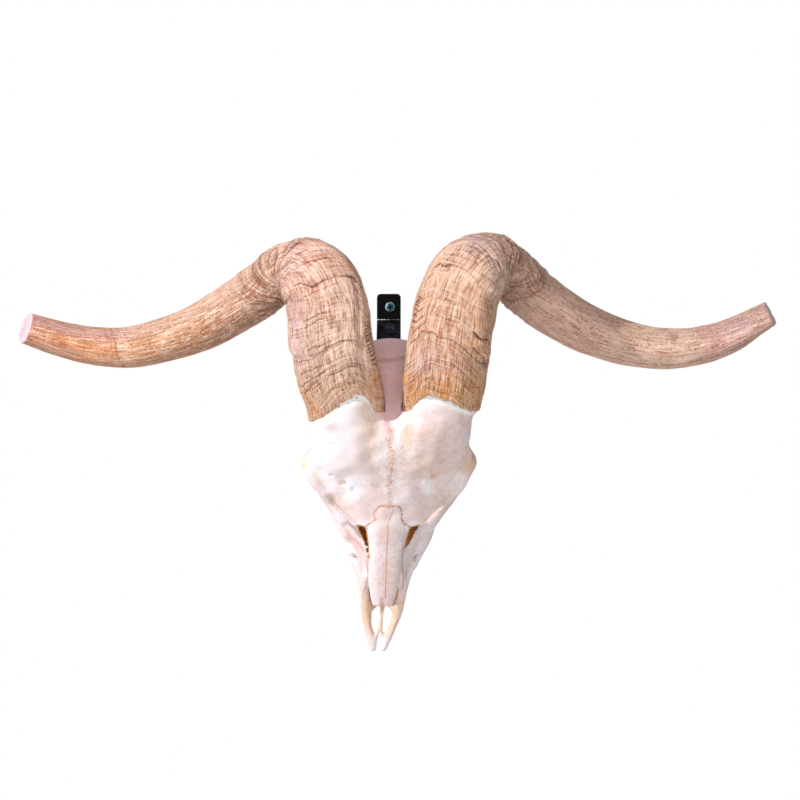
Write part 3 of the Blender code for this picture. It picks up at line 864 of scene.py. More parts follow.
def ring_quads(rows: int, around: int) -> np.ndarray:
    """Quads between neighbouring closed rings of a grid, numbered row by row.

    Args:
        rows: how many rings.
        around: how many points each ring has.

    Returns:
        Four corner numbers for each quad.
    """
    i = np.arange(rows - 1)[:, None] * around
    j = np.arange(around)[None]
    right = (j + 1) % around
    return np.stack([i + j, i + right, i + around + right, i + around + j], axis=-1).reshape(-1, 4)


def closed_rings(rings: np.ndarray, flip: bool = False) -> Tuple[np.ndarray, List[List[int]]]:
    """Points and faces of a grid of rings, with a pole of triangles at each end.

    Args:
        rings: ring by ring, the points round each, with a last axis of three.
        flip: turns every face round.

    Returns:
        All points, the two poles last, and the faces.
    """
    rows, around = rings.shape[:2]
    points = np.concatenate([rings.reshape(-1, 3), rings[:1].mean(axis=1), rings[-1:].mean(axis=1)])
    j = np.arange(around)
    right = (j + 1) % around
    first, last = rows * around, rows * around + 1
    base = (rows - 1) * around
    start = np.stack([right, j, np.full(around, first)], axis=1)
    end = np.stack([base + j, base + right, np.full(around, last)], axis=1)
    faces = [*ring_quads(rows, around).tolist(), *start.tolist(), *end.tolist()]
    return points, [face[::-1] for face in faces] if flip else faces


def make_piece(name: str, points: np.ndarray, faces: Sequence[Sequence[int]],
               marks: Dict[str, np.ndarray]) -> bpy.types.Object:
    """A mesh object at the origin.

    Args:
        name: the object's name.
        points: world points in millimetres.
        faces: corner numbers of each face.
        marks: values the finish reads, one a point or one row of three a point.

    Returns:
        The linked object.
    """
    mesh = bpy.data.meshes.new(name)
    mesh.from_pydata((points * MM).tolist(), [], faces)
    for mark, values in marks.items():
        flat = values.ndim == 1
        layer = mesh.attributes.new(mark, "FLOAT" if flat else "FLOAT_VECTOR", "POINT")
        layer.data.foreach_set("value" if flat else "vector", values.astype(np.float32).ravel())
    mesh.shade_smooth()
    piece = bpy.data.objects.new(name, mesh)
    bpy.context.scene.collection.objects.link(piece)
    return piece


def hand_over(piece: bpy.types.Object, finish: bpy.types.Material,
              nodes: Sequence[str]) -> None:
    """Dresses a finished piece, hangs it on the body and hides the solids that it stands for.

    Args:
        piece: the finished piece.
        finish: its material.
        nodes: the solids that it stands for.
    """
    piece.data.materials.clear()
    piece.data.materials.append(finish)
    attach(piece, BODY)
    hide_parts(*nodes)
    LOG.info("%s: %d points, %d faces", piece.name, len(piece.data.vertices),
             len(piece.data.polygons))


class Board:
    """A node tree with short calls, each giving back the socket that later calls read."""

    def __init__(self, tree: bpy.types.NodeTree) -> None:
        """Works on the tree."""
        self.tree = tree

    def plug(self, target: Pin, value: Value) -> None:
        """Feeds a socket.

        Args:
            target: the socket.
            value: another socket to link to it, or its own value.
        """
        if isinstance(value, Pin):
            self.tree.links.new(value, target)
        else:
            target.default_value = value

    def node(self, kind: str, settings: Optional[Dict[str, object]] = None,
             **inputs: Value) -> bpy.types.Node:
        """A node.

        Args:
            kind: the node's type, without its common first word.
            settings: its properties by name.
            inputs: its sockets by name, with an underscore for each space.

        Returns:
            The node.
        """
        made = self.tree.nodes.new("ShaderNode" + kind)
        for key, value in (settings or {}).items():
            setattr(made, key, value)
        for key, value in inputs.items():
            self.plug(made.inputs[key.replace("_", " ")], value)
        return made

    def math(self, operation: str, a: Value, b: Value = 0.0, clamp: bool = False) -> Pin:
        """A sum on two values.

        Args:
            operation: the sum's name.
            a, b: the values.
            clamp: holds the result within 0 and 1.

        Returns:
            The result.
        """
        made = self.node("Math", {"operation": operation, "use_clamp": clamp})
        self.plug(made.inputs[0], a)
        self.plug(made.inputs[1], b)
        return made.outputs[0]

    def plus(self, a: Value, b: Value, clamp: bool = False) -> Pin:
        """Value a and value b."""
        return self.math("ADD", a, b, clamp)

    def less(self, a: Value, b: Value) -> Pin:
        """Value a less value b."""
        return self.math("SUBTRACT", a, b)

    def times(self, a: Value, b: Value, clamp: bool = False) -> Pin:
        """Value a times value b."""
        return self.math("MULTIPLY", a, b, clamp)

    def blend(self, share: Value, a: Value, b: Value) -> Pin:
        """Lays one colour over another.

        Args:
            share: how much of the upper one shows.
            a: the lower colour.
            b: the upper colour.

        Returns:
            The colour.
        """
        made = self.node("Mix", {"data_type": "RGBA"})
        for socket, value in zip(MIX_SOCKETS, (share, a, b)):
            self.plug(made.inputs[socket], value)
        return made.outputs[2]

    def mix(self, share: Value, a: Value, b: Value) -> Pin:
        """Value a carried by a share towards value b."""
        return self.plus(a, self.times(share, self.less(b, a)))

    def span(self, value: Value, low: float, high: float, out_low: float = 0.0,
             out_high: float = 1.0) -> Pin:
        """The value carried smoothly from one range to another and held within it.

        Args:
            value: what is carried.
            low, high: the range it comes from.
            out_low, out_high: the range it goes to.

        Returns:
            The carried value.
        """
        made = self.node("MapRange", {"interpolation_type": "SMOOTHSTEP"}, Value=value,
                         From_Min=low, From_Max=high, To_Min=out_low, To_Max=out_high)
        return made.outputs[0]

    def stretch(self, vector: Value, scale: Value) -> Pin:
        """The vector with each part multiplied.

        Args:
            vector: the vector.
            scale: a factor for each part.

        Returns:
            The new vector.
        """
        made = self.node("VectorMath", {"operation": "MULTIPLY"})
        self.plug(made.inputs[0], vector)
        self.plug(made.inputs[1], scale)
        return made.outputs[0]

    def noise(self, vector: Value, scale: Value, detail: float = 3.0,
              rough: float = 0.5) -> Pin:
        """Cloudy value of about 0.25 to 0.75."""
        return self.node("TexNoise", Vector=vector, Scale=scale, Detail=detail,
                         Roughness=rough).outputs[0]

    def mark(self, name: str, output: str = "Fac") -> Pin:
        """A value that the mesh carries."""
        return self.node("Attribute", {"attribute_name": name}).outputs[output]

    def place(self) -> Pin:
        """Object coordinates in millimetres."""
        where = self.node("TexCoord").outputs["Object"]
        return self.stretch(where, (1 / MM,) * 3)

    def group(self, tree: bpy.types.NodeTree, **inputs: Value) -> Pin:
        """A shared group placed on the board.

        Args:
            tree: the group.
            inputs: its inputs by name.

        Returns:
            Its output.
        """
        made = self.node("Group", {"node_tree": tree})
        for key, value in inputs.items():
            self.plug(made.inputs[key], value)
        return made.outputs[0]

    def bump(self, height: Value, deep: float, strength: float = 1.0,
             normal: Optional[Pin] = None) -> Pin:
        """Normal of a relief.

        Args:
            height: the relief's height, 0 to 1.
            deep: its depth in millimetres.
            strength: how much of it shows.
            normal: a normal that it is laid over.

        Returns:
            The normal.
        """
        made = self.node("Bump", Height=height, Distance=deep * MM, Strength=strength)
        if normal is not None:
            self.plug(made.inputs["Normal"], normal)
        return made.outputs[0]

    def dress(self, shader: bpy.types.Node, colour: Pin, roughness: Pin, normal: Pin) -> None:
        """Feeds a shader.

        Args:
            shader: the shader.
            colour, roughness, normal: what it gets.
        """
        self.plug(shader.inputs["Base Color"], colour)
        self.plug(shader.inputs["Roughness"], roughness)
        self.plug(shader.inputs["Normal"], normal)


class Effects:
    """Shader effects that several finishes share, each a node group built once."""

    def __init__(self) -> None:
        """Builds the groups."""
        self.grain = self.build_grain()
        self.patches = self.build_patches()
        self.specks = self.build_specks()
        self.line = self.build_line()

    @staticmethod
    def start(name: str, *values: str) -> Tuple[Board, Dict[str, Pin]]:
        """An empty group that reads a vector and some values.

        Args:
            name: the group's name.
            values: the name of each value.

        Returns:
            The group's board and its input sockets by name.
        """
        tree = bpy.data.node_groups.new(name, "ShaderNodeTree")
        tree.interface.new_socket(name="Vector", in_out="INPUT", socket_type="NodeSocketVector")
        for value in values:
            tree.interface.new_socket(name=value, in_out="INPUT", socket_type="NodeSocketFloat")
        tree.interface.new_socket(name="Value", in_out="OUTPUT", socket_type="NodeSocketFloat")
        given = tree.nodes.new("NodeGroupInput").outputs
        return Board(tree), {key: given[key] for key in ("Vector", *values)}

    @staticmethod
    def close(board: Board, value: Pin) -> bpy.types.NodeTree:
        """Ends a group.

        Args:
            board: the group's board.
            value: what it puts out.

        Returns:
            The group.
        """
        out = board.tree.nodes.new("NodeGroupOutput")
        board.plug(out.inputs[0], value)
        return board.tree

    def build_grain(self) -> bpy.types.NodeTree:
        """Streaks: noise on a vector whose first two parts and third part have their own scales.

        Returns:
            The group.
        """
        board, given = self.start("grain", "Across", "Along", "Sharp")
        scale = board.node("CombineXYZ", X=given["Across"], Y=given["Across"], Z=given["Along"])
        raw = board.noise(board.stretch(given["Vector"], scale.outputs[0]), 1.0, 4.0, 0.6)
        centred = board.less(raw, 0.5)
        wide = board.times(centred, given["Sharp"])
        return self.close(board, board.plus(wide, 0.5, clamp=True))

    def build_patches(self) -> bpy.types.NodeTree:
        """Soft blotches: noise cut between a low and a high value.

        Returns:
            The group.
        """
        board, given = self.start("soft patches", "Scale", "Low", "High")
        raw = board.noise(given["Vector"], given["Scale"], 3.0, 0.55)
        made = board.node("MapRange", {"interpolation_type": "SMOOTHSTEP"}, Value=raw,
                          From_Min=given["Low"], From_Max=given["High"])
        return self.close(board, made.outputs[0])

    def build_specks(self) -> bpy.types.NodeTree:
        """Small round spots of varied size: nearness to scattered points, thinned by noise.

        Returns:
            The group.
        """
        board, given = self.start("specks", "Scale", "Size")
        cells = board.node("TexVoronoi", {"feature": "F1"}, Vector=given["Vector"],
                           Scale=given["Scale"])
        odd = board.noise(given["Vector"], board.times(given["Scale"], 0.7), 1.0)
        size = board.times(given["Size"], board.span(odd, 0.35, 0.65))
        near = board.less(size, cells.outputs["Distance"])
        soft = board.math("DIVIDE", near, board.math("MAXIMUM", given["Size"], 0.02))
        return self.close(board, board.times(soft, 2.5, clamp=True))

    def build_line(self) -> bpy.types.NodeTree:
        """A jagged line along the places where a signed distance is nought.

        Returns:
            The group.
        """
        board, given = self.start("jagged line", "Distance", "Width", "Jag", "Pitch", "Presence",
                                  "Broken")
        jag = board.less(board.noise(given["Vector"], given["Pitch"], 3.0, 0.7), 0.5)
        moved = board.plus(given["Distance"], board.times(jag, given["Jag"]))
        far = board.math("DIVIDE", board.math("ABSOLUTE", moved), given["Width"])
        near = board.span(far, 0.35, 1.0, 1.0, 0.0)
        gaps = board.span(board.noise(given["Vector"], 0.75, 2.0, 0.6), 0.52, 0.42)
        near = board.times(near, board.less(1.0, board.times(gaps, given["Broken"])))
        return self.close(board, board.times(near, given["Presence"], clamp=True))


def new_material(name: str) -> Tuple[bpy.types.Material, Board, bpy.types.Node]:
    """A material with nothing but its shader.

    Args:
        name: the material's name.

    Returns:
        The material, its board and its shader.
    """
    made = bpy.data.materials.new(name)
    made.use_nodes = True
    return made, Board(made.node_tree), made.node_tree.nodes["Principled BSDF"]


class Stain(Enum):
    """Tints that lie in patches on the bone; ash is partly painted shade."""

    OCHRE = "ochre"
    ROSE = "rose"
    # Grey tone, and painted shade under the brow rims, in the forehead's dip and on the right brow.
    ASH = "ash"
    WHITE = "white"


class Tone(Enum):
    """Tints that lie in patches on a horn; some are partly painted shade and light."""

    AMBER = "amber"
    ROSY = "rosy"
    # Darker tone in spots, and painted shade on undersides and in the bend's shadow.
    DUSK = "dusk"
    # Paler tone in spots, and painted light on lit sides and upper rims.
    PALE = "pale"
    # Lilac tint, and painted highlights on the lit side and the bend's top.
    LILAC = "lilac"


@dataclass(frozen=True)
class Seam:
    """Suture between two bones: its lines of x and u, the width of its mark and its jaggedness."""

    lines: Sequence[Knots]
    width: float
    jag: float
    pitch: float
    strength: float
    broken: float = 0.0


@dataclass(frozen=True)
class BoneFinish:
    """Dry bleached bone: ivory with soft tints, brown sutures and open pores."""

    ivory: Colour = srgb(239, 227, 231)
    cream: Colour = srgb(226, 204, 201)
    shade: Colour = srgb(198, 170, 156)
    suture: Colour = srgb(190, 128, 84)
    porous: Colour = srgb(250, 248, 244)
    pore: Colour = srgb(138, 104, 80)
    hollow: Colour = srgb(186, 120, 52)
    tints: Dict[Stain, Colour] = field(default_factory=lambda: {
        Stain.OCHRE: srgb(220, 178, 126), Stain.ROSE: srgb(246, 198, 198),
        # Ash is partly painted shade.
        Stain.ASH: srgb(176, 152, 132), Stain.WHITE: srgb(246, 246, 250)})
    roughness: float = 0.55

    def material(self, effects: Effects, seams: Dict[str, Seam]) -> bpy.types.Material:
        """The bone's material.

        Args:
            effects: the shared effects.
            seams: the sutures, whose distances the mesh carries by name.

        Returns:
            The material.
        """
        made, board, shader = new_material("bone")
        place = board.place()
        cloud = board.group(effects.patches, Vector=place, Scale=0.035, Low=0.38, High=0.62)
        colour = board.blend(cloud, self.ivory, self.cream)
        fine = board.group(effects.patches, Vector=place, Scale=0.30, Low=0.46, High=0.70)
        colour = board.blend(board.times(fine, 0.38), colour, self.shade)
        ragged = board.span(board.noise(place, 0.3, 4.0, 0.7), 0.3, 0.6, 0.45, 1.0)
        for stain, tint in self.tints.items():
            share = board.times(board.mark(stain.value), ragged, clamp=True)
            colour = board.blend(share, colour, tint)
        height = board.times(board.noise(place, 1.4, 5.0, 0.6), 0.5)
        for name, seam in seams.items():
            line = board.group(effects.line, Vector=place, Distance=board.mark(name),
                               Width=seam.width, Jag=seam.jag, Pitch=seam.pitch,
                               Presence=board.mark(name + " presence"), Broken=seam.broken)
            colour = board.blend(board.times(line, seam.strength), colour, self.suture)
            height = board.less(height, board.times(line, 0.7))
        sparse = board.group(effects.specks, Vector=place, Scale=0.16, Size=0.10)
        burr = board.mark("burr")
        dense = board.group(effects.specks, Vector=place, Scale=0.42, Size=0.40)
        dense = board.times(dense, burr)
        pores = board.math("MAXIMUM", board.times(sparse, 0.6), board.times(dense, 0.75))
        colour = board.blend(burr, colour, self.porous)
        colour = board.blend(board.times(pores, 0.75), colour, self.pore)
        colour = board.blend(board.mark("inside"), colour, self.hollow)
        height = board.less(height, board.times(pores, 1.6))
        pitted = board.bump(board.less(1.0, dense), 0.3, 0.8)
        board.dress(shader, colour, board.span(cloud, 0, 1, self.roughness, 0.68),
                    board.bump(height, 0.35, 0.6, pitted))
        return made


@dataclass(frozen=True)
class HornFinish:
    """Weathered horn: tan with fine growth lines, long fibres and creases darkened with painted
    shade.
    """

    tan: Colour = srgb(214, 163, 133)
    light: Colour = srgb(255, 226, 206)
    line: Colour = srgb(148, 74, 46)
    # Painted shade in creases, under ledges, in ring grooves and between ribs.
    crease: Colour = srgb(122, 54, 38)
    tints: Dict[Tone, Colour] = field(default_factory=lambda: {
        # Dusk is partly painted shade, and pale partly painted light.
        Tone.DUSK: srgb(156, 116, 92), Tone.PALE: srgb(255, 216, 192),
        Tone.ROSY: srgb(212, 146, 128), Tone.AMBER: srgb(232, 164, 100),
        # Lilac is partly a painted highlight.
        Tone.LILAC: srgb(228, 192, 204)})
    cut: Colour = srgb(212, 188, 202)
    roughness: float = 0.46

    def material(self, effects: Effects) -> bpy.types.Material:
        """The horns' material.

        Rings are noise drawn out round the horn, streaks noise drawn out along it, long on the
        outer horn and short on the inner, and flecks hardly drawn out at all. The low values of
        their sum darken the tint, its high values lighten it, and it raises the bump.

        Args:
            effects: the shared effects.

        Returns:
            The material.
        """
        made, board, shader = new_material("horn")
        fibre, growth = board.mark("fibre", "Vector"), board.mark("growth", "Vector")
        shown = board.mark("rings")
        bands = board.group(effects.grain, Vector=growth, Across=0.05, Along=0.20, Sharp=2.8)
        colour = board.blend(board.times(bands, 0.45), self.tan, self.light)
        uneven = board.span(board.noise(board.place(), 0.13, 6.0, 0.7), 0.40, 0.60, 0.35, 1.35)
        for tone, tint in self.tints.items():
            share = board.times(board.mark(tone.value), uneven, clamp=True)
            colour = board.blend(share, colour, tint)
        long = board.group(effects.grain, Vector=fibre, Across=0.95, Along=0.07, Sharp=3.4)
        short = board.group(effects.grain, Vector=fibre, Across=1.65, Along=0.10, Sharp=3.2)
        streak = board.mix(shown, long, short)
        rings = board.group(effects.grain, Vector=growth, Across=0.08, Along=0.95, Sharp=3.2)
        where = board.group(effects.patches, Vector=growth, Scale=0.06, Low=0.36, High=0.60)
        ringed = board.times(shown, board.span(where, 0, 1, 0.2, 0.8))
        rings = board.mix(ringed, 0.5, rings)
        flecks = board.group(effects.grain, Vector=fibre, Across=0.95, Along=0.60, Sharp=3.0)
        flecks = board.times(board.less(flecks, 0.5), board.mix(shown, 0.7, 0.3))
        relief = board.plus(board.plus(streak, rings), board.plus(flecks, 0.3))
        dark = board.span(relief, 1.30, 0.78)
        bright = board.span(relief, 1.30, 1.82)
        colour = board.blend(board.times(dark, 0.70), colour, self.line)
        colour = board.blend(board.times(bright, 0.70), colour, self.light)
        line = board.group(effects.line, Vector=board.place(), Distance=board.mark("crease"),
                           Width=0.72, Jag=1.2, Pitch=0.45, Presence=board.mark("ink"), Broken=0.7)
        # Painted shade: creases, ledges, ring grooves and rib hollows darkened towards the crease
        # colour.
        deep = board.math("MAXIMUM", board.mark("groove"), line)
        colour = board.blend(board.times(deep, 0.88), colour, self.crease)
        worn = board.less(1.0, board.mark("cut"))
        colour = board.blend(board.times(board.mark("cut"), 0.85), colour, self.cut)
        rough = board.times(board.noise(board.place(), 0.9, 5.0, 0.65), 0.4)
        height = board.plus(board.times(relief, 0.9), rough)
        height = board.less(height, board.times(line, 0.3))
        height = board.times(height, board.span(worn, 0, 1, 0.3, 1.0))
        board.dress(shader, colour, board.span(streak, 0, 1, 0.62, self.roughness),
                    board.bump(height, 0.8, 1.0))
        shader.inputs["Specular IOR Level"].default_value = 0.22
        return made


@dataclass(frozen=True)
class EnamelFinish:
    """Ivory enamel with brown stain in the folds and towards the gum."""

    enamel: Colour = srgb(226, 214, 192)
    stain: Colour = srgb(120, 84, 52)
    roughness: float = 0.3

    def material(self, effects: Effects) -> bpy.types.Material:
        """The teeth's material.

        Args:
            effects: the shared effects.

        Returns:
            The material.
        """
        made, board, shader = new_material("tooth enamel")
        place = board.place()
        streak = board.group(effects.grain, Vector=place, Across=0.9, Along=0.9, Sharp=2.0)
        share = board.times(board.mark("fold"), board.span(streak, 0.1, 0.7, 0.6, 1.0))
        board.dress(shader, board.blend(share, self.enamel, self.stain),
                    board.span(share, 0, 1, self.roughness, 0.6), board.bump(streak, 0.12, 0.5))
        return made


@dataclass(frozen=True)
class SteelFinish:
    """Black painted strap with a painted sheen on its arm, chips and bright worn edges."""

    paint: Colour = srgb(5, 5, 7)
    # Painted reflection: the violet-grey sheen of the arm's upper face.
    sheen_tint: Colour = srgb(50, 46, 62)
    bare: Colour = srgb(206, 204, 200)

    def material(self, effects: Effects) -> bpy.types.Material:
        """The strap's material.

        Args:
            effects: the shared effects.

        Returns:
            The material.
        """
        made, board, shader = new_material("black steel")
        place = board.place()
        # Painted reflection over the arm, in soft patches.
        arm_sheen = board.group(effects.patches, Vector=place, Scale=0.12, Low=0.35, High=0.75)
        arm_sheen = board.times(arm_sheen, board.mark("arm_sheen"), clamp=True)
        colour = board.blend(arm_sheen, self.paint, self.sheen_tint)
        flakes = board.noise(place, 1.3, 4.0, 0.7)
        worn = board.span(board.plus(flakes, board.mark("wear")), 0.98, 1.12)
        chips = board.group(effects.specks, Vector=place, Scale=0.22, Size=0.10)
        worn = board.math("MAXIMUM", worn, board.span(chips, 0.5, 0.8))
        board.plug(shader.inputs["Metallic"], board.times(worn, 0.3))
        peel = board.less(board.noise(place, 2.2, 3.0), board.times(worn, 0.6))
        board.dress(shader, board.blend(worn, colour, self.bare),
                    board.span(flakes, 0.3, 0.7, 0.42, 0.6), board.bump(peel, 0.12, 0.6))
        shader.inputs["Specular IOR Level"].default_value = 0.06
        return made


@dataclass(frozen=True)
class ZincFinish:
    """Zinc plate with a blue-green cast, scuffed bright on its rim and dark in the recess."""

    plate: Colour = srgb(62, 112, 120)
    bright: Colour = srgb(226, 236, 234)
    # Darker colour in the cross recess.
    recess_dark: Colour = srgb(22, 30, 32)

    def material(self, effects: Effects) -> bpy.types.Material:
        """The screw's material.

        Args:
            effects: the shared effects.

        Returns:
            The material.
        """
        made, board, shader = new_material("zinc plate")
        place = board.place()
        scuff = board.group(effects.grain, Vector=place, Across=1.6, Along=1.6, Sharp=3.0)
        rim = board.times(board.mark("rim"), board.span(scuff, 0.38, 0.56), clamp=True)
        colour = board.blend(rim, self.plate, self.bright)
        # The cross recess is darkened.
        colour = board.blend(board.mark("recess"), colour, self.recess_dark)
        board.dress(shader, colour, board.span(scuff, 0, 1, 0.5, 0.7),
                    board.bump(scuff, 0.06, 0.5))
        shader.inputs["Metallic"].default_value = 1.0
        return made


@dataclass
class Skull:
    """The skull with its bony horn cores, one body of bone.

    Reliefs, which are low swells and dents of the forehead, and patches of tint are rows of x, u,
    two radii and an amount. Solids and hollows come with the softness of their seam.
    """

    step: float = 1.33
    low: Sequence[float] = (0.0, -4.0, -15.0)
    high: Sequence[float] = (71.0, 243.0, 134.0)
    rounds: int = 2
    forehead: Knots = ((-66, 98, 46), (66, 188, 120))
    face: Slab = Slab((
        (52, 9.5, 38, 13.5, 6), (60, 11.5, 43, 18.0, 2.5), (74, 13, 49.5, 26.0, 1.5),
        (86, 15.5, 54.5, 34.0, 1.5), (96, 18, 59, 38.0, 3), (107, 24, 63.5, 38.5, 9),
        (118, 28, 69, 36, 16), (128, 30, 74, 30, 24)))
    brow: Brow = Brow((
        (100, 24, 60.5, 10), (106, 35, 63.5, 12), (112, 41, 66.5, 13), (119, 45, 70.5, 14),
        (128, 52, 76.5, 15), (137, 56.5, 82.5, 16), (143, 60, 86, 17), (148, 63.5, 88.5, 18),
        (152, 61, 90.5, 18), (158, 56.5, 93, 18), (165, 52, 95.5, 18), (173, 50.5, 97, 18),
        (181, 51, 96.5, 19), (189, 51, 93.5, 20), (197, 47, 88.5, 22), (205, 38, 81, 22),
        (210, 26, 76, 20)), soften=7)
    nose: Slab = Slab((
        (36, 8.5, 33.0, 10, 11), (52, 8.5, 34.5, 11.5, 11), (62, 9, 39, 13.5, 11),
        (78, 10, 45, 18, 12), (94, 13, 52, 22, 14), (106, 15, 56, 21, 20), (114, 11, 55, 14, 28)))
    nasals: Slab = Slab((
        (38.5, 7.4, 35.6, 7.6, 30.5), (42, 8.6, 37.2, 9.0, 31.5), (47, 9.8, 39.8, 10.4, 33),
        (56, 11.0, 43.8, 11.6, 36.5), (66, 11.6, 48.2, 12.2, 40.5), (77, 12.0, 53.0, 12.8, 45),
        (88, 12.6, 58.2, 14, 49), (100, 12.8, 63.8, 15, 54), (110, 11.5, 67.6, 13, 58),
        (118, 9.5, 70.6, 11, 61)), soften=5, square=2.5)
    solids: Sequence[Tuple[Form, float]] = (
        (Rod(((0, 104, 40, 20), (0, 128, 46, 20), (0, 152, 52, 20), (0, 176, 56, 24))), 6),
        (Rod(((0, 234.5, 50, 3.8), (14, 233, 48.5, 4), (27, 226, 42, 5), (36, 216, 34, 5.5))), 4),
        (Rod(((0, 230, 13, 8.5), (0, 206, 16, 9.5), (0, 180, 25, 9), (0, 150, 34, 9))), 5),
        (Ball((0, 203, 53.5), 33, 38, 27, -24), 8),
        (Ball((0, 222, 38), 34, 12, 20), 8),
        (Ball((0, 224, 22), 19, 8, 12), 5),
        (Ball((16.5, 226, 21), 8.5, 8.5, 11), 3),
        (Ball((19, 206, 17), 8, 12, 10), 3),
        (Ball((29, 179, 79), 22, 21, 14), 9),
        (Ball((26, 195, 68), 17, 17, 16), 9),
        (Rod(((24, 156, 75.5, 12.5), (24, 178, 87, 12.5), (24, 194, 95.5, 12.5))), 9),
        (Rod(((36, 156, 73.5, 13), (36, 178, 85.5, 13.5), (35.5, 190, 93, 13.5))), 9),
        (Rod(((44, 156, 72, 10), (44.5, 172, 82, 10.5), (44, 183, 90.5, 11))), 9),
        (Rod(((3.4, 9, 4, 2.0), (1.5, 14.5, 5, 1.4), (0.6, 19, 5.5, 1.2), (0.6, 36, 6, 1.4),
              (3, 60, 8, 5))), 0.8),
        (Rod(((0, 38.5, 6, 2.6), (5, 38, 6.5, 2.6), (9.6, 34, 7.5, 3.2))), 1.2),
        (Rod(((13.5, 42, 10, 3.6), (15, 56, 10, 5), (18, 72, 10, 7))), 4),
        (Rod(((18.6, 72, 10, 7), (25.5, 95, 12, 11), (28, 128, 13, 10), (28.5, 158, 14, 9))), 5),
        (Rod(((15, 116, 24, 12), (15, 140, 29, 9), (13.5, 158, 27, 6), (13, 178, 27, 5))), 4),
        (Rod(((26, 98, 24, 10), (35.5, 110, 30, 7.6), (45.5, 122, 34, 6), (52.5, 134, 38, 5.8),
              (56, 147, 43, 5.6), (53, 160, 44, 5), (47, 172, 42, 4.8), (42, 186, 39, 6),
              (33, 200, 40, 8.5))), 4),
        (Rod(((32.5, 105, 55, 4.4), (42.2, 118, 60, 4.3), (52.8, 132, 65.5, 4.2),
              (59, 143, 67, 3.9), (61.5, 149, 62, 3.8), (56.5, 156, 45, 4.8))), 2.5),
        (Rod(((31.5, 106, 52, 4.6), (34.5, 110, 44, 5.4), (39.5, 117, 35, 6))), 3),
        (Rod(((24, 207, 32, 7), (34, 209, 35, 6), (40, 210, 37, 4.6))), 3),
        (Rod(((26, 221, 28, 6.5), (29, 216, 8, 4.4), (28, 210, -8, 2.6))), 4),
        (Rod(((13, 176, 26, 4.5), (13.5, 168, 12, 3.4), (13.5, 158, 6, 2.8))), 3),
        (Rod(((4.1, 2.2, 3, 2.3), (4.8, 6.5, 3.5, 3.2), (6.8, 12, 4, 3.4), (9.7, 20, 5, 2.9),
              (11.6, 29, 6, 3.8), (12.6, 38, 10, 4.2), (13.4, 50, 17, 4.2), (12.6, 62, 32, 4.8)),
             0.85), 0.9),
    )
    hollows: Sequence[Tuple[Form, float]] = (
        (Rod(((0, 35, 34, 1.5), (0, 39, 36, 1.3), (0, 44, 38.6, 0.8)), 2.0), 0.3),
        (Rod(((9.6, 36, 33, 1.6), (8.4, 38, 35, 1.2))), 0.5),
        (Rod(((0, 66, -4, 11), (0, 90, -5, 13.5), (0, 128, -5, 16), (0, 156, -3, 17)), 0.6), 1.5),
        (Rod(((0, 108, 26, 9), (0, 140, 22, 9), (0, 168, 12, 8), (0, 182, 4, 8))), 2),
        (Rod(((0, 213, 54, 12), (0, 225, 38, 12.8), (0, 236, 22, 13.5), (0, 246, 5, 14.5))), 1.5),
        (Rod(((0, 171.5, 98.5, 0.8), (0, 179, 98, 4.4), (0, 189, 96, 9.0), (0, 199, 92, 11.2),
              (0, 211, 84, 11)), 0.7), 1.2),
        (Rod(((16, 76, 13, 2.2), (24.6, 73.5, 17.5, 2.8), (29, 72, 22, 3.4))), 0.8),
        (Rod(((32, 209, 35, 2.6), (48, 211, 38, 2.8))), 1),
        (Ball((0, 201, 53.5), 25, 27, 17, -24), 1.5),
        (Ball((54, 134, 49.5), 33, 17.5, 13.5), 1.5),
    )
    slits: Sequence[Wedge] = (
        Wedge(((-21.8, 100.2), (-16.4, 98.9), (-13.9, 88.5), (-11.6, 75.0), (-12.8, 77.5),
               (-16.4, 90.0)), 40, 62, 5),
        Wedge(((18.0, 98.8), (23.4, 100.2), (19.0, 91.0), (15.4, 82.6), (14.2, 83.0)), 40, 62, 6))
    reliefs: Knots = (
        (-8, 141, 16, 12, -1.4), (-28, 160, 20, 22, 1.3), (28, 160, 20, 24, 1.3),
        (-31, 128, 8, 9, -1.2), (28, 127, 8, 9, -1.1), (0, 118, 9, 7, 0.8),
        (-40, 117, 7, 9, -1.6), (41, 118, 7, 9, -1.4), (-27.4, 127.5, 1.4, 4.5, 0.8),
        (-24.2, 124.5, 1.3, 4.5, 0.8), (-21.4, 122.5, 1.2, 3.5, 0.6),
        (27.0, 132.0, 1.3, 4.5, 0.7), (30.2, 130.0, 1.3, 5.0, 0.8), (33.2, 131.5, 1.2, 3.5, 0.6))
    pits: Sequence[Ball] = (
        Ball((-34.3, 132.4, 74.6), 3.4, 2.9, 3.2), Ball((-26.6, 127.6, 73.6), 1.3, 2.4, 2.6),
        Ball((-42.7, 138.6, 76.6), 1.5, 1.3, 2), Ball((33.6, 138.4, 79.8), 2.6, 1.8, 2.8),
        Ball((22.4, 127.2, 74.0), 1.0, 2.6, 2.6))
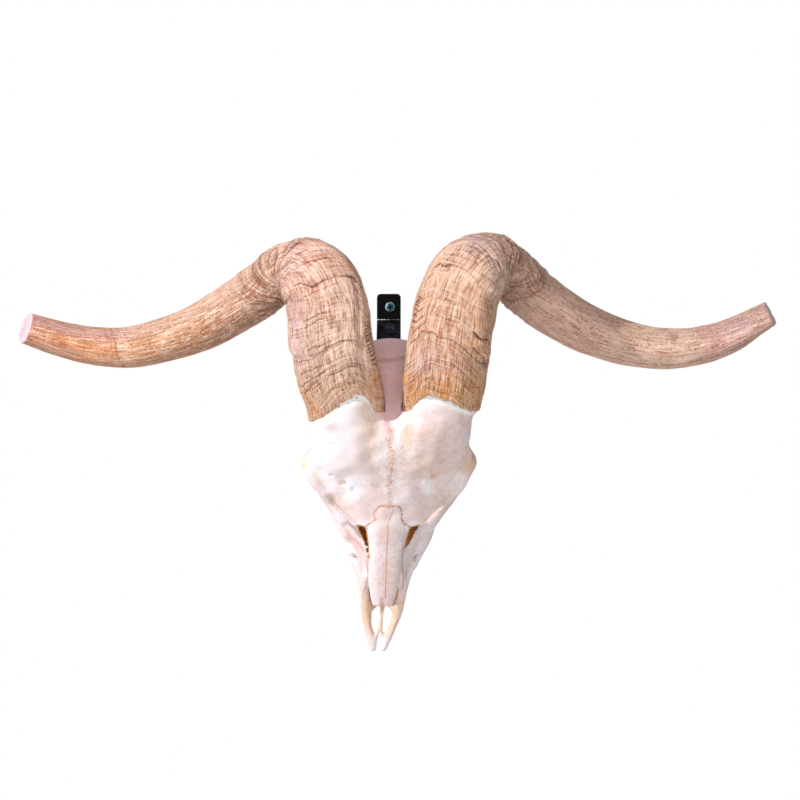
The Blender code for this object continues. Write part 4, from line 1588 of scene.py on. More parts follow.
    seams: Dict[str, Seam] = field(default_factory=lambda: {
        "sagittal": Seam((((-0.8, 173.0), (0.3, 168.8), (1.4, 159.2), (2.0, 149.6), (1.6, 143)),),
                         1.8, 26.0, 0.55, 0.8, 0.75),
        "lower sagittal": Seam((((1.6, 145), (1.2, 139.2), (0.7, 127.8), (0.8, 114.9)),),
                               1.5, 15.0, 0.6, 0.75, 0.7),
        "between nasals": Seam((((3.9, 114.4), (3.3, 110.4), (1.5, 105.1), (0.9, 101.4),
                                 (1.5, 92.4), (1.4, 80.5), (1.5, 62.7), (1.8, 37.9)),),
                               0.5, 0.9, 0.3, 0.8, 0.3),
        "arch": Seam((
            ((-20.8, 99.5), (-16.6, 100.0), (-12.4, 102.4), (-8.6, 105.2), (-10.6, 109.5),
             (-8.7, 113.5), (-6.2, 115.4), (-2.8, 115.9), (0.8, 115.3), (4.2, 115.8),
             (7.8, 115.0), (10.2, 111.8), (10.2, 106.0), (12.6, 102.4), (18.3, 98.4),
             (23.4, 99.1)),), 0.9, 5.5, 0.8, 0.9, 0.6),
        "lacrimal": Seam((
            ((-20.8, 99.5), (-25.8, 104.8), (-29.6, 108.6), (-36.0, 113.9), (-41.4, 119.9)),
            ((23.4, 99.1), (27.4, 104.0), (32.9, 109.3), (38.5, 113.9))),
            0.6, 2.5, 0.6, 0.4, 0.7),
        "maxilla": Seam((
            ((-34.1, 97.1), (-27.6, 91.0), (-20.4, 85.7), (-14.2, 76.6), (-12.4, 65.0)),
            ((35.8, 97.8), (29.8, 87.3), (23.8, 74.9), (16.3, 61.5), (14.1, 49.2))),
            1.8, 4.5, 0.25, 0.35),
        "premaxilla": Seam((
            ((-12.6, 78), (-12.9, 67.6), (-12.6, 58.8), (-13.3, 51.8), (-15.6, 47.6),
             (-15.3, 41.9)),
            ((13.6, 82.7), (13.4, 75.7), (13.6, 68), (14.4, 60), (14.8, 52))),
            0.7, 1.2, 0.5, 0.6, 0.2),
        "crown": Seam((((-30, 226), (-14.6, 224.0), (-7.9, 223.2), (-0.5, 223.9), (9.1, 225.5),
                        (30, 228)),), 2.4, 4.0, 0.35, 0.4),
    })
    patches: Sequence[Tuple[Stain, Knots]] = (
        (Stain.OCHRE, (
            (-62.9, 147.2, 4, 5, 0.9), (60.6, 146.4, 6, 8, 0.8), (-18.4, 181.6, 10, 10, 0.4),
            (12.5, 172, 4, 18, 0.5), (-18, 158, 9, 18, 0.34), (26, 158, 22, 26, 0.22),
            (1.5, 158, 5, 16, 0.35), (23.6, 70, 5, 9, 0.55), (30, 90, 5, 5, 0.45),
            (-40, 119, 8, 5, 0.35), (-34.3, 132.4, 3.2, 3.0, 0.7), (34, 138.7, 2.6, 2.2, 0.6),
            (40, 126, 16, 18, 0.2), (-13, 171, 7, 16, 0.35))),
        (Stain.ROSE, (
            (-24, 160, 9, 14, 0.3), (-39.5, 169.4, 12, 12, 0.25), (0, 50, 8, 22, 0.5),
            (1, 88, 5, 30, 0.25), (-30, 88, 8, 5, 0.25), (-25, 80, 10, 24, 0.6))),
        # Grey patches, partly painted shade: under the left brow rim, in the forehead's dip, on the
        # right brow and below the orbits.
        (Stain.ASH, (
            (26, 160, 16, 14, 0.2), (-45.5, 122.5, 5, 2.6, 0.5), (-41, 118.3, 5, 2.6, 0.5),
            (-36.5, 114, 5, 2.6, 0.4), (-8.3, 140.7, 11, 9, 0.5), (14, 141, 12, 12, 0.3),
            (42.7, 119.2, 8, 8, 0.5), (34, 138, 22, 22, 0.12), (-26, 84, 13, 24, 0.4),
            (2, 66, 10, 34, 0.36), (2, 44, 8, 8, 0.2))),
        (Stain.WHITE, (
            (4.5, 167, 2.6, 9, 0.8), (5.5, 180, 3.4, 10, 0.9), (-38, 182, 13, 12, 0.8),
            (-52, 158, 7, 12, 0.8), (-34, 150, 20, 18, 0.5), (36, 196, 22, 8, 0.8),
            (-25.5, 125.2, 5, 6, 0.8), (29, 130, 5, 7, 0.6), (-17, 101, 6, 4, 0.7),
            (20, 101, 6, 4, 0.5), (-9, 84, 3, 14, 0.4))))

    def bone(self) -> BoneField:
        """Joins every form, then cuts the rooms, the horns' seats and the teeth's sockets.

        Returns:
            The distance to the whole bone.
        """
        half = BoneField.empty(self.low, self.high, self.step)
        half.join(self.face, 0)
        half.join(self.brow, 5)
        for form, soft in self.solids:
            half.join(form, soft)
        half.join(self.nasals, 0.8)
        half.cut(self.nose, 0.8)
        for form, soft in self.hollows:
            half.cut(form, soft)
        whole = half.mirrored()
        self.shape_forehead(whole)
        for hole in self.slits:
            whole.cut(hole, 0.3)
        for hole in self.pits:
            whole.cut(hole, 0.9)
        for horn in (LEFT_HORN, RIGHT_HORN):
            self.seat_horn(whole, horn)
        for tooth in TEETH:
            whole.cut(tooth.socket, 0.5)
        return whole

    def shape_forehead(self, whole: BoneField) -> None:
        """Raises and lowers the outer face by the reliefs and a slight waviness.

        Args:
            whole: the distance to the bone, which is changed.
        """
        window = whole.window(*self.forehead, 0)
        x, u, h = whole.spots(window)
        outer = ease(h - self.brow.crown(x, u), -16, -8)
        rise = sum(bell(x, u, relief) for relief in self.reliefs)
        shape = np.broadcast_shapes(x.shape, u.shape)
        flat = np.stack([np.broadcast_to(part, shape).ravel() for part in (x, u)], axis=1)
        rise = rise + 0.28 * wander(flat, 17.0, 3).reshape(shape)
        fade = ease(u, 99, 106) * fall(u, 178, 187)
        whole.values[window] -= (rise * fade * outer).astype(np.float32)

    def seat_horn(self, whole: BoneField, horn: HornLine) -> None:
        """Grows one horn core, with a burr under the sheath, and clears the sheath's own wall.

        The core is the horn's distance plus the wall and a gap, and thins with the cube of the
        place. The burr is a bell over the height below the sheath's edge, with fine bumps. What
        lies between the sheath's skin and its pocket is cut away.

        Args:
            whole: the distance to the bone, which is changed.
            horn: the horn's line.
        """
        inner, outer = sorted((horn.side * 2, horn.side * 78))
        window = whole.window((inner, 138, 42), (outer, 243, 134), 0)
        shape = [part.stop - part.start for part in window]
        x, u, h = (np.broadcast_to(axis, shape).ravel() for axis in whole.spots(window))
        place, angle, far = horn.locate(skull_to_world(np.stack([x, u, h], axis=1)))
        above = horn.above(place, angle)
        wall = sheath_wall(above)
        under = SHEATH_WALL + CORE_GAP
        core = far + np.where(above > 0, wall + CORE_GAP, under)
        reach = 6 + 12 * ease(h, 84, 100)
        core -= (under - 0.5) * np.exp(-((above / reach) ** 2)) * (above <= 0)
        grit = wander(np.stack([x, u, h], axis=1), 3.4, 11, 14)
        core -= 0.9 * grit * np.exp(-(((above + 2) / 3.5) ** 2)) * fall(np.abs(far + 2), 3, 5)
        core += 9.5 * (np.clip(place, 0, 1) / CORE_TO) ** 3 + 3.5 * fall(place, 0.01, 0.09)
        core = np.maximum(core, (place - CORE_TO) * horn.length)
        core = np.maximum(core, -place * horn.length)
        clear = np.maximum(-(far + wall + CORE_GAP * 0.8), far - 0.5)
        clear = np.maximum(clear, -above - 0.5)
        clear = np.maximum(clear, (place - SEAT_TO) * horn.length)
        now = whole.values[window].ravel()
        now = soft_min(now, core, 5.0)
        now = -soft_min(-now, clear, 0.6)
        whole.values[window] = now.reshape(shape).astype(np.float32)

    def rooms(self, spots: np.ndarray) -> np.ndarray:
        """Where the walls of the nose room and of the slits are.

        Args:
            spots: points in the skull frame, one row each.

        Returns:
            1 on the walls, fading out within the bone's thickness.
        """
        room = BoneField.empty(self.low, self.high, self.step)
        room.join(self.nose, 0)
        near = room.read(np.abs(spots) * (1, 0, 0) + spots * (0, 1, 1))
        for slit in self.slits:
            near = np.minimum(near, slit.distance(*spots.T))
        return 1 - ease(near, 0.5, 1.7)

    def outer(self, spots: np.ndarray, normals: np.ndarray) -> np.ndarray:
        """Where the face seen from the front is.

        Args:
            spots: points in the skull frame, one row each.
            normals: their outward normals.

        Returns:
            1 there and 0 on the sides, the back and the rooms.
        """
        _, u, h = spots.T
        inner = np.interp(u, (0, 40, 80, 128, 170, 200, 235), (-4, 10, 24, 50, 70, 56, 40))
        return ease(normals[:, 2], 0.0, 0.3) * ease(h - inner, -4, 2)

    def sutures(self, spots: np.ndarray, outer: np.ndarray) -> Dict[str, np.ndarray]:
        """The sutures' marks.

        Args:
            spots: points in the skull frame, one row each.
            outer: where the outer face is.

        Returns:
            Each suture's signed distance, and how much of it shows, by name.
        """
        made: Dict[str, np.ndarray] = {}
        rows = np.arange(len(spots))
        for name, seam in self.seams.items():
            far, _, past = np.stack([line_distance(spots[:, :2], line) for line in seam.lines],
                                    axis=1)
            best = np.abs(far).argmin(axis=0)
            far, past = far[best, rows], past[best, rows]
            made[name] = far
            made[name + " presence"] = outer * fall(np.abs(far), 3, 5) * fall(past, 0, 2.5)
        return made

    def stains(self, spots: np.ndarray, outer: np.ndarray) -> Dict[str, np.ndarray]:
        """The tints: the patches, brown snout tips, and a rosy edge over the brain room.

        Args:
            spots: points in the skull frame, one row each.
            outer: where the outer face is.

        Returns:
            The strength of each tint by name.
        """
        x, u, h = spots.T
        made = {stain.value: sum(bell(x, u, patch) * outer for patch in patches)
                for stain, patches in self.patches}
        tips = fall(u, 34, 62) * ease(u, 8, 20)
        made[Stain.OCHRE.value] += 0.7 * tips * fall(h, 26, 31)
        back = ease(u, 174, 184) * fall(h, 88, 94)
        notch = ease(u - 1.6 * np.abs(x - 0.4), 163, 170) * fall(u, 186, 200)
        back = np.maximum(back, notch)
        made[Stain.ROSE.value] += 0.8 * back * outer
        made[Stain.WHITE.value] *= 1 - back
        return made

    def burrs(self, spots: np.ndarray, normals: np.ndarray) -> np.ndarray:
        """Where the porous bone under the sheaths' edges is.

        Args:
            spots: points in the skull frame, one row each.
            normals: their outward normals.

        Returns:
            1 there and 0 elsewhere.
        """
        burr = np.zeros(len(spots))
        for horn in (LEFT_HORN, RIGHT_HORN):
            place, angle, far = horn.locate(skull_to_world(spots))
            ring = band(horn.above(place, angle), -8, -4, 1, 3) * fall(np.abs(far + 2), 3, 5)
            burr = np.maximum(burr, ring * ease(normals[:, 2], 0.3, 0.7))
        return burr * ease(np.abs(spots[:, 0]), 11, 16)

    def marks(self, spots: np.ndarray, normals: np.ndarray) -> Dict[str, np.ndarray]:
        """Values that the finish reads at the skin's points.

        Args:
            spots: the points in the skull frame.
            normals: their outward normals in the skull frame.

        Returns:
            The suture distances and presences, the tints, the burr and the nose walls, by name.
        """
        outer = self.outer(spots, normals)
        made = self.sutures(spots, outer) | self.stains(spots, outer)
        made["burr"] = self.burrs(spots, normals)
        ledge = ease(normals[:, 2], 0.15, 0.5) * fall(spots[:, 1], 84, 90)
        ledge = ledge * ease(spots[:, 2], 34, 40)
        made["inside"] = self.rooms(spots) * (spots[:, 1] > 34) * (1 - 0.75 * ledge)
        return {key: value if key in self.seams else np.clip(value, 0, 1)
                for key, value in made.items()}

    def build(self, effects: Effects) -> None:
        """Draws the skin, marks it and dresses it.

        Args:
            effects: the shared effects.
        """
        points, quads = self.bone().skin()
        points = relaxed(points, quads, self.rounds)
        points, quads = largest_body(points, quads)
        marks = self.marks(points, skin_normals(points, quads))
        piece = make_piece("skull_bone", skull_to_world(points), quads.tolist(), marks)
        hand_over(piece, BoneFinish().material(effects, self.seams), ["skull"])


@dataclass
class HornSkin:
    """The outer skin of a horn laid flat: a place and an angle for every point of its grid."""

    horn: HornLine
    places: np.ndarray
    angles: np.ndarray
    seed: int
    radius: float = 21.0

    @cached_property
    def degrees(self) -> np.ndarray:
        """Angles from -90 at the back edge of the inner side to 270."""
        whole = np.degrees(self.angles) % 360
        return np.where(whole > 270, whole - 360, whole)

    @cached_property
    def flat(self) -> np.ndarray:
        """Flat millimetres: along the horn, and round it at its mean radius."""
        return np.stack([self.places * self.horn.length,
                         np.radians(self.degrees) * self.radius], axis=-1)

    @cached_property
    def round(self) -> np.ndarray:
        """Millimetres on a straight tube of the mean radius, which close round the horn."""
        return np.stack([np.cos(self.angles) * self.radius, np.sin(self.angles) * self.radius,
                         self.places * self.horn.length], axis=-1)

    def waver(self, size: float, seed: int, along: float = 1.0) -> np.ndarray:
        """Smooth random value about 0 over the skin; along below 1 draws it out lengthwise."""
        spots = self.round.reshape(-1, 3) * (1, 1, along)
        return wander(spots, size, self.seed + seed).reshape(self.places.shape)

    def bell(self, row: Sequence[float]) -> np.ndarray:
        """Bell over the skin.

        Args:
            row: its middle's place and angle in degrees, its radii along and round the horn in
                millimetres and its amount.

        Returns:
            Its value at each point.
        """
        place, angle, long, wide, amount = row
        middle = np.array((place * self.horn.length, math.radians(angle) * self.radius))
        return amount * np.exp(-(((self.flat - middle) / (long, wide)) ** 2).sum(axis=-1))

    def over(self, marks: Knots) -> np.ndarray:
        """How far each point lies towards the tip from a ring.

        Args:
            marks: rows of angle in degrees and place.

        Returns:
            Millimetres at each point, below 0 on the base side.
        """
        table = np.array(marks, dtype=float)
        degrees = np.concatenate([table[:, 0] - 360, table[:, 0], table[:, 0] + 360])
        ring = np.interp(np.degrees(self.angles) % 360, degrees, np.tile(table[:, 1], 3))
        return (self.places - ring) * self.horn.length


@dataclass(frozen=True)
class Ledge:
    """A growth step round the horn whose tip side stands proud of its base side.

    Its marks are angle in degrees and place. It shows between two angles.
    """

    marks: Knots
    rise: float
    # How dark the painted shade under the step is.
    ink: float = 0.8
    shown: Tuple[float, float] = (20.0, 160.0)
    fade: float = 14.0

    def trace(self, skin: HornSkin) -> Tuple[np.ndarray, np.ndarray]:
        """Follows the step over the skin.

        Args:
            skin: the outer skin.

        Returns:
            Distance towards the tip from the step, wavering a little, and how much it shows.
        """
        low, high = self.shown
        seen = band(skin.degrees, low - 14, low + 6, high - 6, high + 14)
        seen = seen * np.clip(0.72 + 0.42 * skin.waver(22, 6), 0, 1)
        return skin.over(self.marks) + 0.55 * skin.waver(6, 5), seen

    def height(self, side: np.ndarray, seen: np.ndarray) -> np.ndarray:
        """The step: full on the tip side, dying away, with a shallow trough on the base side."""
        tipward = np.exp(-np.maximum(side, 0) / self.fade)
        return self.rise * seen * np.where(side > 0, tipward, -0.3 * np.exp(side / 3))


@dataclass(frozen=True)
class Crease:
    """A sunk line with marks of place and angle in degrees, in the order of the angle."""

    marks: Knots
    deep: float = 0.3
    lip: float = 0.0
    wide: float = 0.8
    # How dark the painted shade in the line is.
    ink: float = 0.8

    def trace(self, skin: HornSkin) -> Tuple[np.ndarray, np.ndarray]:
        """Follows the line over the skin.

        Args:
            skin: the outer skin.

        Returns:
            Distance towards the tip from the line, wavering a little, and how much it shows.
        """
        marks = np.array(self.marks) * (skin.horn.length, math.radians(1) * skin.radius)
        side, _, past = line_distance(skin.flat.reshape(-1, 2), marks)
        side, past = (values.reshape(skin.places.shape) for values in (side, past))
        return side + 0.35 * skin.waver(5, 7), fall(past, 0, 2.5)

    def height(self, side: np.ndarray, seen: np.ndarray) -> np.ndarray:
        """A bell-shaped trough with a raised lip on the tip side."""
        lip = self.lip * np.exp(-np.abs(side) / 4) * ease(side, 0, 1.2)
        return seen * (lip - self.deep * np.exp(-((side / self.wide) ** 2)))


@dataclass(frozen=True)
class Stretch:
    """A tint that begins at a ring, with marks of angle in degrees and place, and runs tipward."""

    marks: Knots
    amount: float
    soft: float = 1.2

    def spread(self, skin: HornSkin) -> np.ndarray:
        """The amount beyond the ring."""
        return self.amount * ease(skin.over(self.marks) + 0.6 * skin.waver(7, 11), 0, self.soft)


@dataclass
class HornSheath:
    """One horn sheath: a hollow horn with growth ledges, fine rings, creases and a ragged edge.

    Lumps and tones are rows of place, angle in degrees, two radii and an amount. The ribs lie
    between two places and two angles. The blush is a rosy stretch.
    """

    name: str
    horn: HornLine
    ledges: Sequence[Ledge]
    creases: Sequence[Crease]
    lumps: Knots
    ribs: Tuple[float, float, float, float]
    tones: Dict[Tone, Knots]
    blush: Stretch
    tilt: float
    seed: int
    around: int = 150
    dense_to: float = 0.57
    dense_rows: int = 420
    rows: int = 600

    def growth(self, skin: HornSkin) -> np.ndarray:
        """Growth coordinate: millimetres along the horn, but level on each ledge and the edge.

        Args:
            skin: the outer skin.

        Returns:
            Its value at each point.
        """
        here = skin.places * self.horn.length
        guides = [self.horn.above(skin.places, skin.angles),
                  *(skin.over(ledge.marks) for ledge in self.ledges),
                  (skin.places - 1) * self.horn.length]
        total = np.full(here.shape, (here - guides[0])[0].mean())
        for low, high in zip(guides[:-1], guides[1:]):
            gap = np.maximum(low - high, 1.6)
            total = total + (low - high)[0].mean() * np.clip(low / gap, 0, 1)
        return total

    @staticmethod
    def ridges(growth: np.ndarray, gap: float, seed: int) -> np.ndarray:
        """Uneven rings: random heights of -1 to 1 along the growth coordinate.

        Args:
            growth: the growth coordinate.
            gap: how far apart the heights are on average.
            seed: the seed of their draws.

        Returns:
            The height at each point.
        """
        rng = np.random.default_rng(seed)
        knots = np.cumsum(rng.uniform(0.5, 1.5, int(560 / gap))) * gap
        return np.interp(growth, knots, rng.uniform(-1, 1, len(knots)))

    def rings(self, skin: HornSkin, growth: np.ndarray,
              outer: np.ndarray) -> Tuple[np.ndarray, np.ndarray]:
        """Three orders of uneven rings on a slight waviness.

        Each order is a row of random heights along the growth coordinate, times an amount that is
        larger on the bend and smaller on the outer half. The low heights of the last one, where
        the rings lie close, get painted shade as dark grooves.

        Args:
            skin: the outer skin.
            growth: the growth coordinate.
            outer: 1 on the horn's outer half.

        Returns:
            Their height and the painted shade in their grooves.
        """
        bend = band(skin.places, 0.36, 0.45, 0.54, 0.63)
        fine = self.ridges(growth, 1.5, self.seed + 1)
        coarse = self.ridges(growth, 4.2, self.seed + 2)
        height = fine * (0.11 + 0.30 * bend - 0.08 * outer)
        height += coarse * (0.16 + 0.50 * bend - 0.12 * outer)
        height += (0.32 - 0.2 * outer) * skin.waver(30, 3) + 0.12 * skin.waver(5, 4, 0.12)
        thin = self.ridges(growth + 0.4 * skin.waver(8, 8), 1.25, self.seed + 3)
        height += 0.28 * bend * thin
        pace = np.gradient(growth, axis=0) / np.gradient(skin.places * self.horn.length, axis=0)
        close = ease(pace, 0.6, 0.95)
        # Painted shade in the close ring grooves on the bend.
        groove = 0.8 * bend * close * fall(thin, -0.50, -0.05) * ease(skin.waver(26, 9), -1.6, 0.0)
        return height, groove * fall(skin.places, 0.50, 0.56)

    def lines(self, skin: HornSkin, height: np.ndarray) -> Tuple[np.ndarray, np.ndarray]:
        """The ledges and creases: their heights are added up.

        The one that stands out most is the nearest, with paler ones held to be further away.

        Args:
            skin: the outer skin.
            height: the skin's height, to which theirs is added.

        Returns:
            The signed distance to the one that stands out most at each point, and the painted shade
            along it.
        """
        nearest = np.full(height.shape, 40.0)
        ink = np.zeros(height.shape)
        for line in (*self.ledges, *self.creases):
            side, seen = line.trace(skin)
            height += line.height(side, seen)
            better = np.abs(side) + 5 * (1 - line.ink * seen) < np.abs(nearest) + 5 * (1 - ink)
            nearest = np.where(better, side, nearest)
            ink = np.where(better, line.ink * seen, ink)
        return nearest, ink * fall(np.abs(nearest), 1.1, 2.4)

    def flap(self, skin: HornSkin) -> Tuple[np.ndarray, np.ndarray]:
        """The ribs on the inner flap: a sine of the wavering way along the horn, in a window.

        Args:
            skin: the outer skin.

        Returns:
            Their height and the painted shade in the hollows between them.
        """
        low, high, left, right = self.ribs
        flap = band(skin.places, low, low + 0.03, high - 0.03, high)
        flap = flap * ease(skin.degrees, left, left + 8) * fall(skin.degrees, right - 8, right)
        across = skin.places * self.horn.length + 0.9 * skin.waver(14, 12)
        across = across + 0.5 * self.ridges(across, 3.0, self.seed + 4)
        ribs = np.sin(across * 2 * math.pi / 2.5)
        # The second value is painted shade in the hollows between the ribs.
        return 0.5 * flap * ribs, flap * fall(ribs, -0.7, 0.0)

    def shape(self, skin: HornSkin) -> Dict[str, np.ndarray]:
        """Height of the skin over the plain horn, and what its finish reads.

        Args:
            skin: the outer skin.

        Returns:
            By name: the height in mm, the growth coordinate, how much of the rings shows, the
            distance to the nearest ledge or crease and its painted shade, and the painted shade in
            grooves.
        """
        growth = self.growth(skin) + 0.8 * skin.waver(24, 0)
        outer = ease(skin.places, 0.54, 0.62)
        height, groove = self.rings(skin, growth, outer)
        nearest, ink = self.lines(skin, height)
        for lump in self.lumps:
            height += skin.bell(lump)
        ribs, hollow = self.flap(skin)
        height += ribs
        lip = np.exp(-self.horn.above(skin.places, skin.angles) / 2.5)
        # Painted shade of the ring grooves and the rib hollows.
        return {"height": height * (1 - 0.8 * lip), "growth": growth,
                "groove": np.maximum(groove, hollow), "rings": 1 - 0.85 * outer,
                "crease": nearest, "ink": ink}

    def skin(self, turn: np.ndarray, edge: np.ndarray) -> HornSkin:
        """Lays out the outer skin in rings from the lower edge to the cut, dense up to the bend.

        The cut face is a plane turned a little to the viewer, so the front ends before the back.

        Args:
            turn: the angles of a ring's points.
            edge: the place of the lower edge at each.

        Returns:
            The skin.
        """
        stop = 1 - self.tilt * (1 + np.sin(turn)) / 2 / self.horn.length
        share = np.linspace(0, 1, self.dense_rows)[:, None]
        places = edge + (self.dense_to - edge) * share
        share = np.linspace(0, 1, self.rows - self.dense_rows + 1)[1:, None]
        places = np.concatenate([places, self.dense_to + (stop - self.dense_to) * share])
        return HornSkin(self.horn, places, np.broadcast_to(turn, places.shape), self.seed)

    def inside(self, turn: np.ndarray, edge: np.ndarray) -> np.ndarray:
        """The pocket for the core, from its end out, and the rounded lower edge.

        The pocket is the horn less its wall, and closes with the cube of the way in.

        Args:
            turn: the angles of a ring's points.
            edge: the place of the lower edge at each.

        Returns:
            Their rings.
        """
        lip = np.array([(-0.35, 0.0016), (-0.9, 0.0020), (-1.3, 0.0010)])
        under = self.horn.points(edge - lip[:, 1:], turn, lip[:, :1])
        inner = np.concatenate([[0.0], np.linspace(0.02, 1, 22)])[:, None]
        places = edge + (POCKET_TO - edge) * inner
        wall = sheath_wall((places - edge) * self.horn.length)
        pocket = self.horn.points(places, turn, -wall - 9.0 * inner**3)
        return np.concatenate([pocket[::-1], under[::-1]])

    def build(self, finish: bpy.types.Material) -> None:
        """Joins the pocket, the outer skin and the cut tip into one closed grid of rings.

        Args:
            finish: the horn's material.
        """
        turn = full_turn(self.around)
        circle = np.stack([np.cos(turn), np.sin(turn)], axis=1) * 20
        fray = 0.6 * wander(circle, 13, self.seed + 8) + 0.55 * wander(circle, 3.0, self.seed + 9)
        edge = self.horn.edge_at(turn) + fray / self.horn.length
        skin = self.skin(turn, edge)
        looks = self.shape(skin)
        outer = self.horn.points(skin.places, skin.angles, looks["height"])
        cap = self.cap(outer)
        inside = self.inside(turn, edge)
        points, faces = closed_rings(np.concatenate([inside, outer, cap]),
                                     flip=self.horn.side < 0)
        piece = make_piece(self.name, points, faces, self.marks(skin, looks, len(inside), len(cap)))
        hand_over(piece, finish, [self.name.replace("_skin", "")])

    def cap(self, outer: np.ndarray) -> np.ndarray:
        """Rings that round the rim over and close in on the cut face's middle.

        Each is the last ring scaled about its middle and moved ahead, a little wavy.

        Args:
            outer: the outer skin's rings.

        Returns:
            The rings.
        """
        tip = outer[-1]
        centre = tip.mean(axis=0)
        ahead = np.cross(tip - centre, np.roll(tip, -1, axis=0) - centre).sum(axis=0)
        ahead *= np.sign(ahead @ (centre - outer[-12].mean(axis=0)))
        ahead /= np.linalg.norm(ahead)
        rounds = np.array([(0.985, 0.25), (0.955, 0.55), (0.91, 0.7), (0.8, 0.75), (0.65, 0.8),
                           (0.5, 0.85), (0.35, 0.85), (0.2, 0.85), (0.08, 0.85)])
        cap = centre + (tip - centre) * rounds[:, :1, None] + ahead * rounds[:, 1:, None]
        return cap + ahead * (0.3 * wander(cap, 6, self.seed + 10))[..., None]

    def marks(self, skin: HornSkin, looks: Dict[str, np.ndarray], hidden: int,
              cap: int) -> Dict[str, np.ndarray]:
        """Values that the finish reads, carried on over the hidden rings, the cap and the poles.

        Args:
            skin: the outer skin.
            looks: what its shape gave.
            hidden: how many rings come before the outer skin.
            cap: how many come after it.

        Returns:
            The values by name, the two poles last.
        """
        def spread(values: np.ndarray, start: Optional[float] = None,
                   end: Optional[float] = None) -> np.ndarray:
            """Carries the outer skin's values on.

            Args:
                values: the outer skin's values.
                start: the value of the rings before it, or its first row's.
                end: the value of the rings after it, or its last row's.

            Returns:
                The values of all points.
            """
            first = values[:1] if start is None else np.full_like(values[:1], start)
            last = values[-1:] if end is None else np.full_like(values[-1:], end)
            full = np.concatenate([first.repeat(hidden, axis=0), values, last.repeat(cap, axis=0)])
            full = full.reshape(-1, *values.shape[2:])
            return np.concatenate([full, first.mean(axis=1), last.mean(axis=1)])

        rings = skin.round.copy()
        rings[..., 2] = looks["growth"]
        made = {"fibre": spread(skin.round), "growth": spread(rings)}
        made |= {key: spread(looks[key], 0, 0) for key in ("groove", "rings", "ink")}
        made["crease"] = spread(looks["crease"])
        for tone in Tone:
            total = sum(skin.bell(tint) for tint in self.tones[tone])
            if tone is Tone.ROSY:
                total = total + self.blush.spread(skin)
            made[tone.value] = spread(np.clip(total, 0, 1))
        cut = np.zeros(skin.places.shape)
        made["cut"] = spread(cut, 0, 1)
        return made


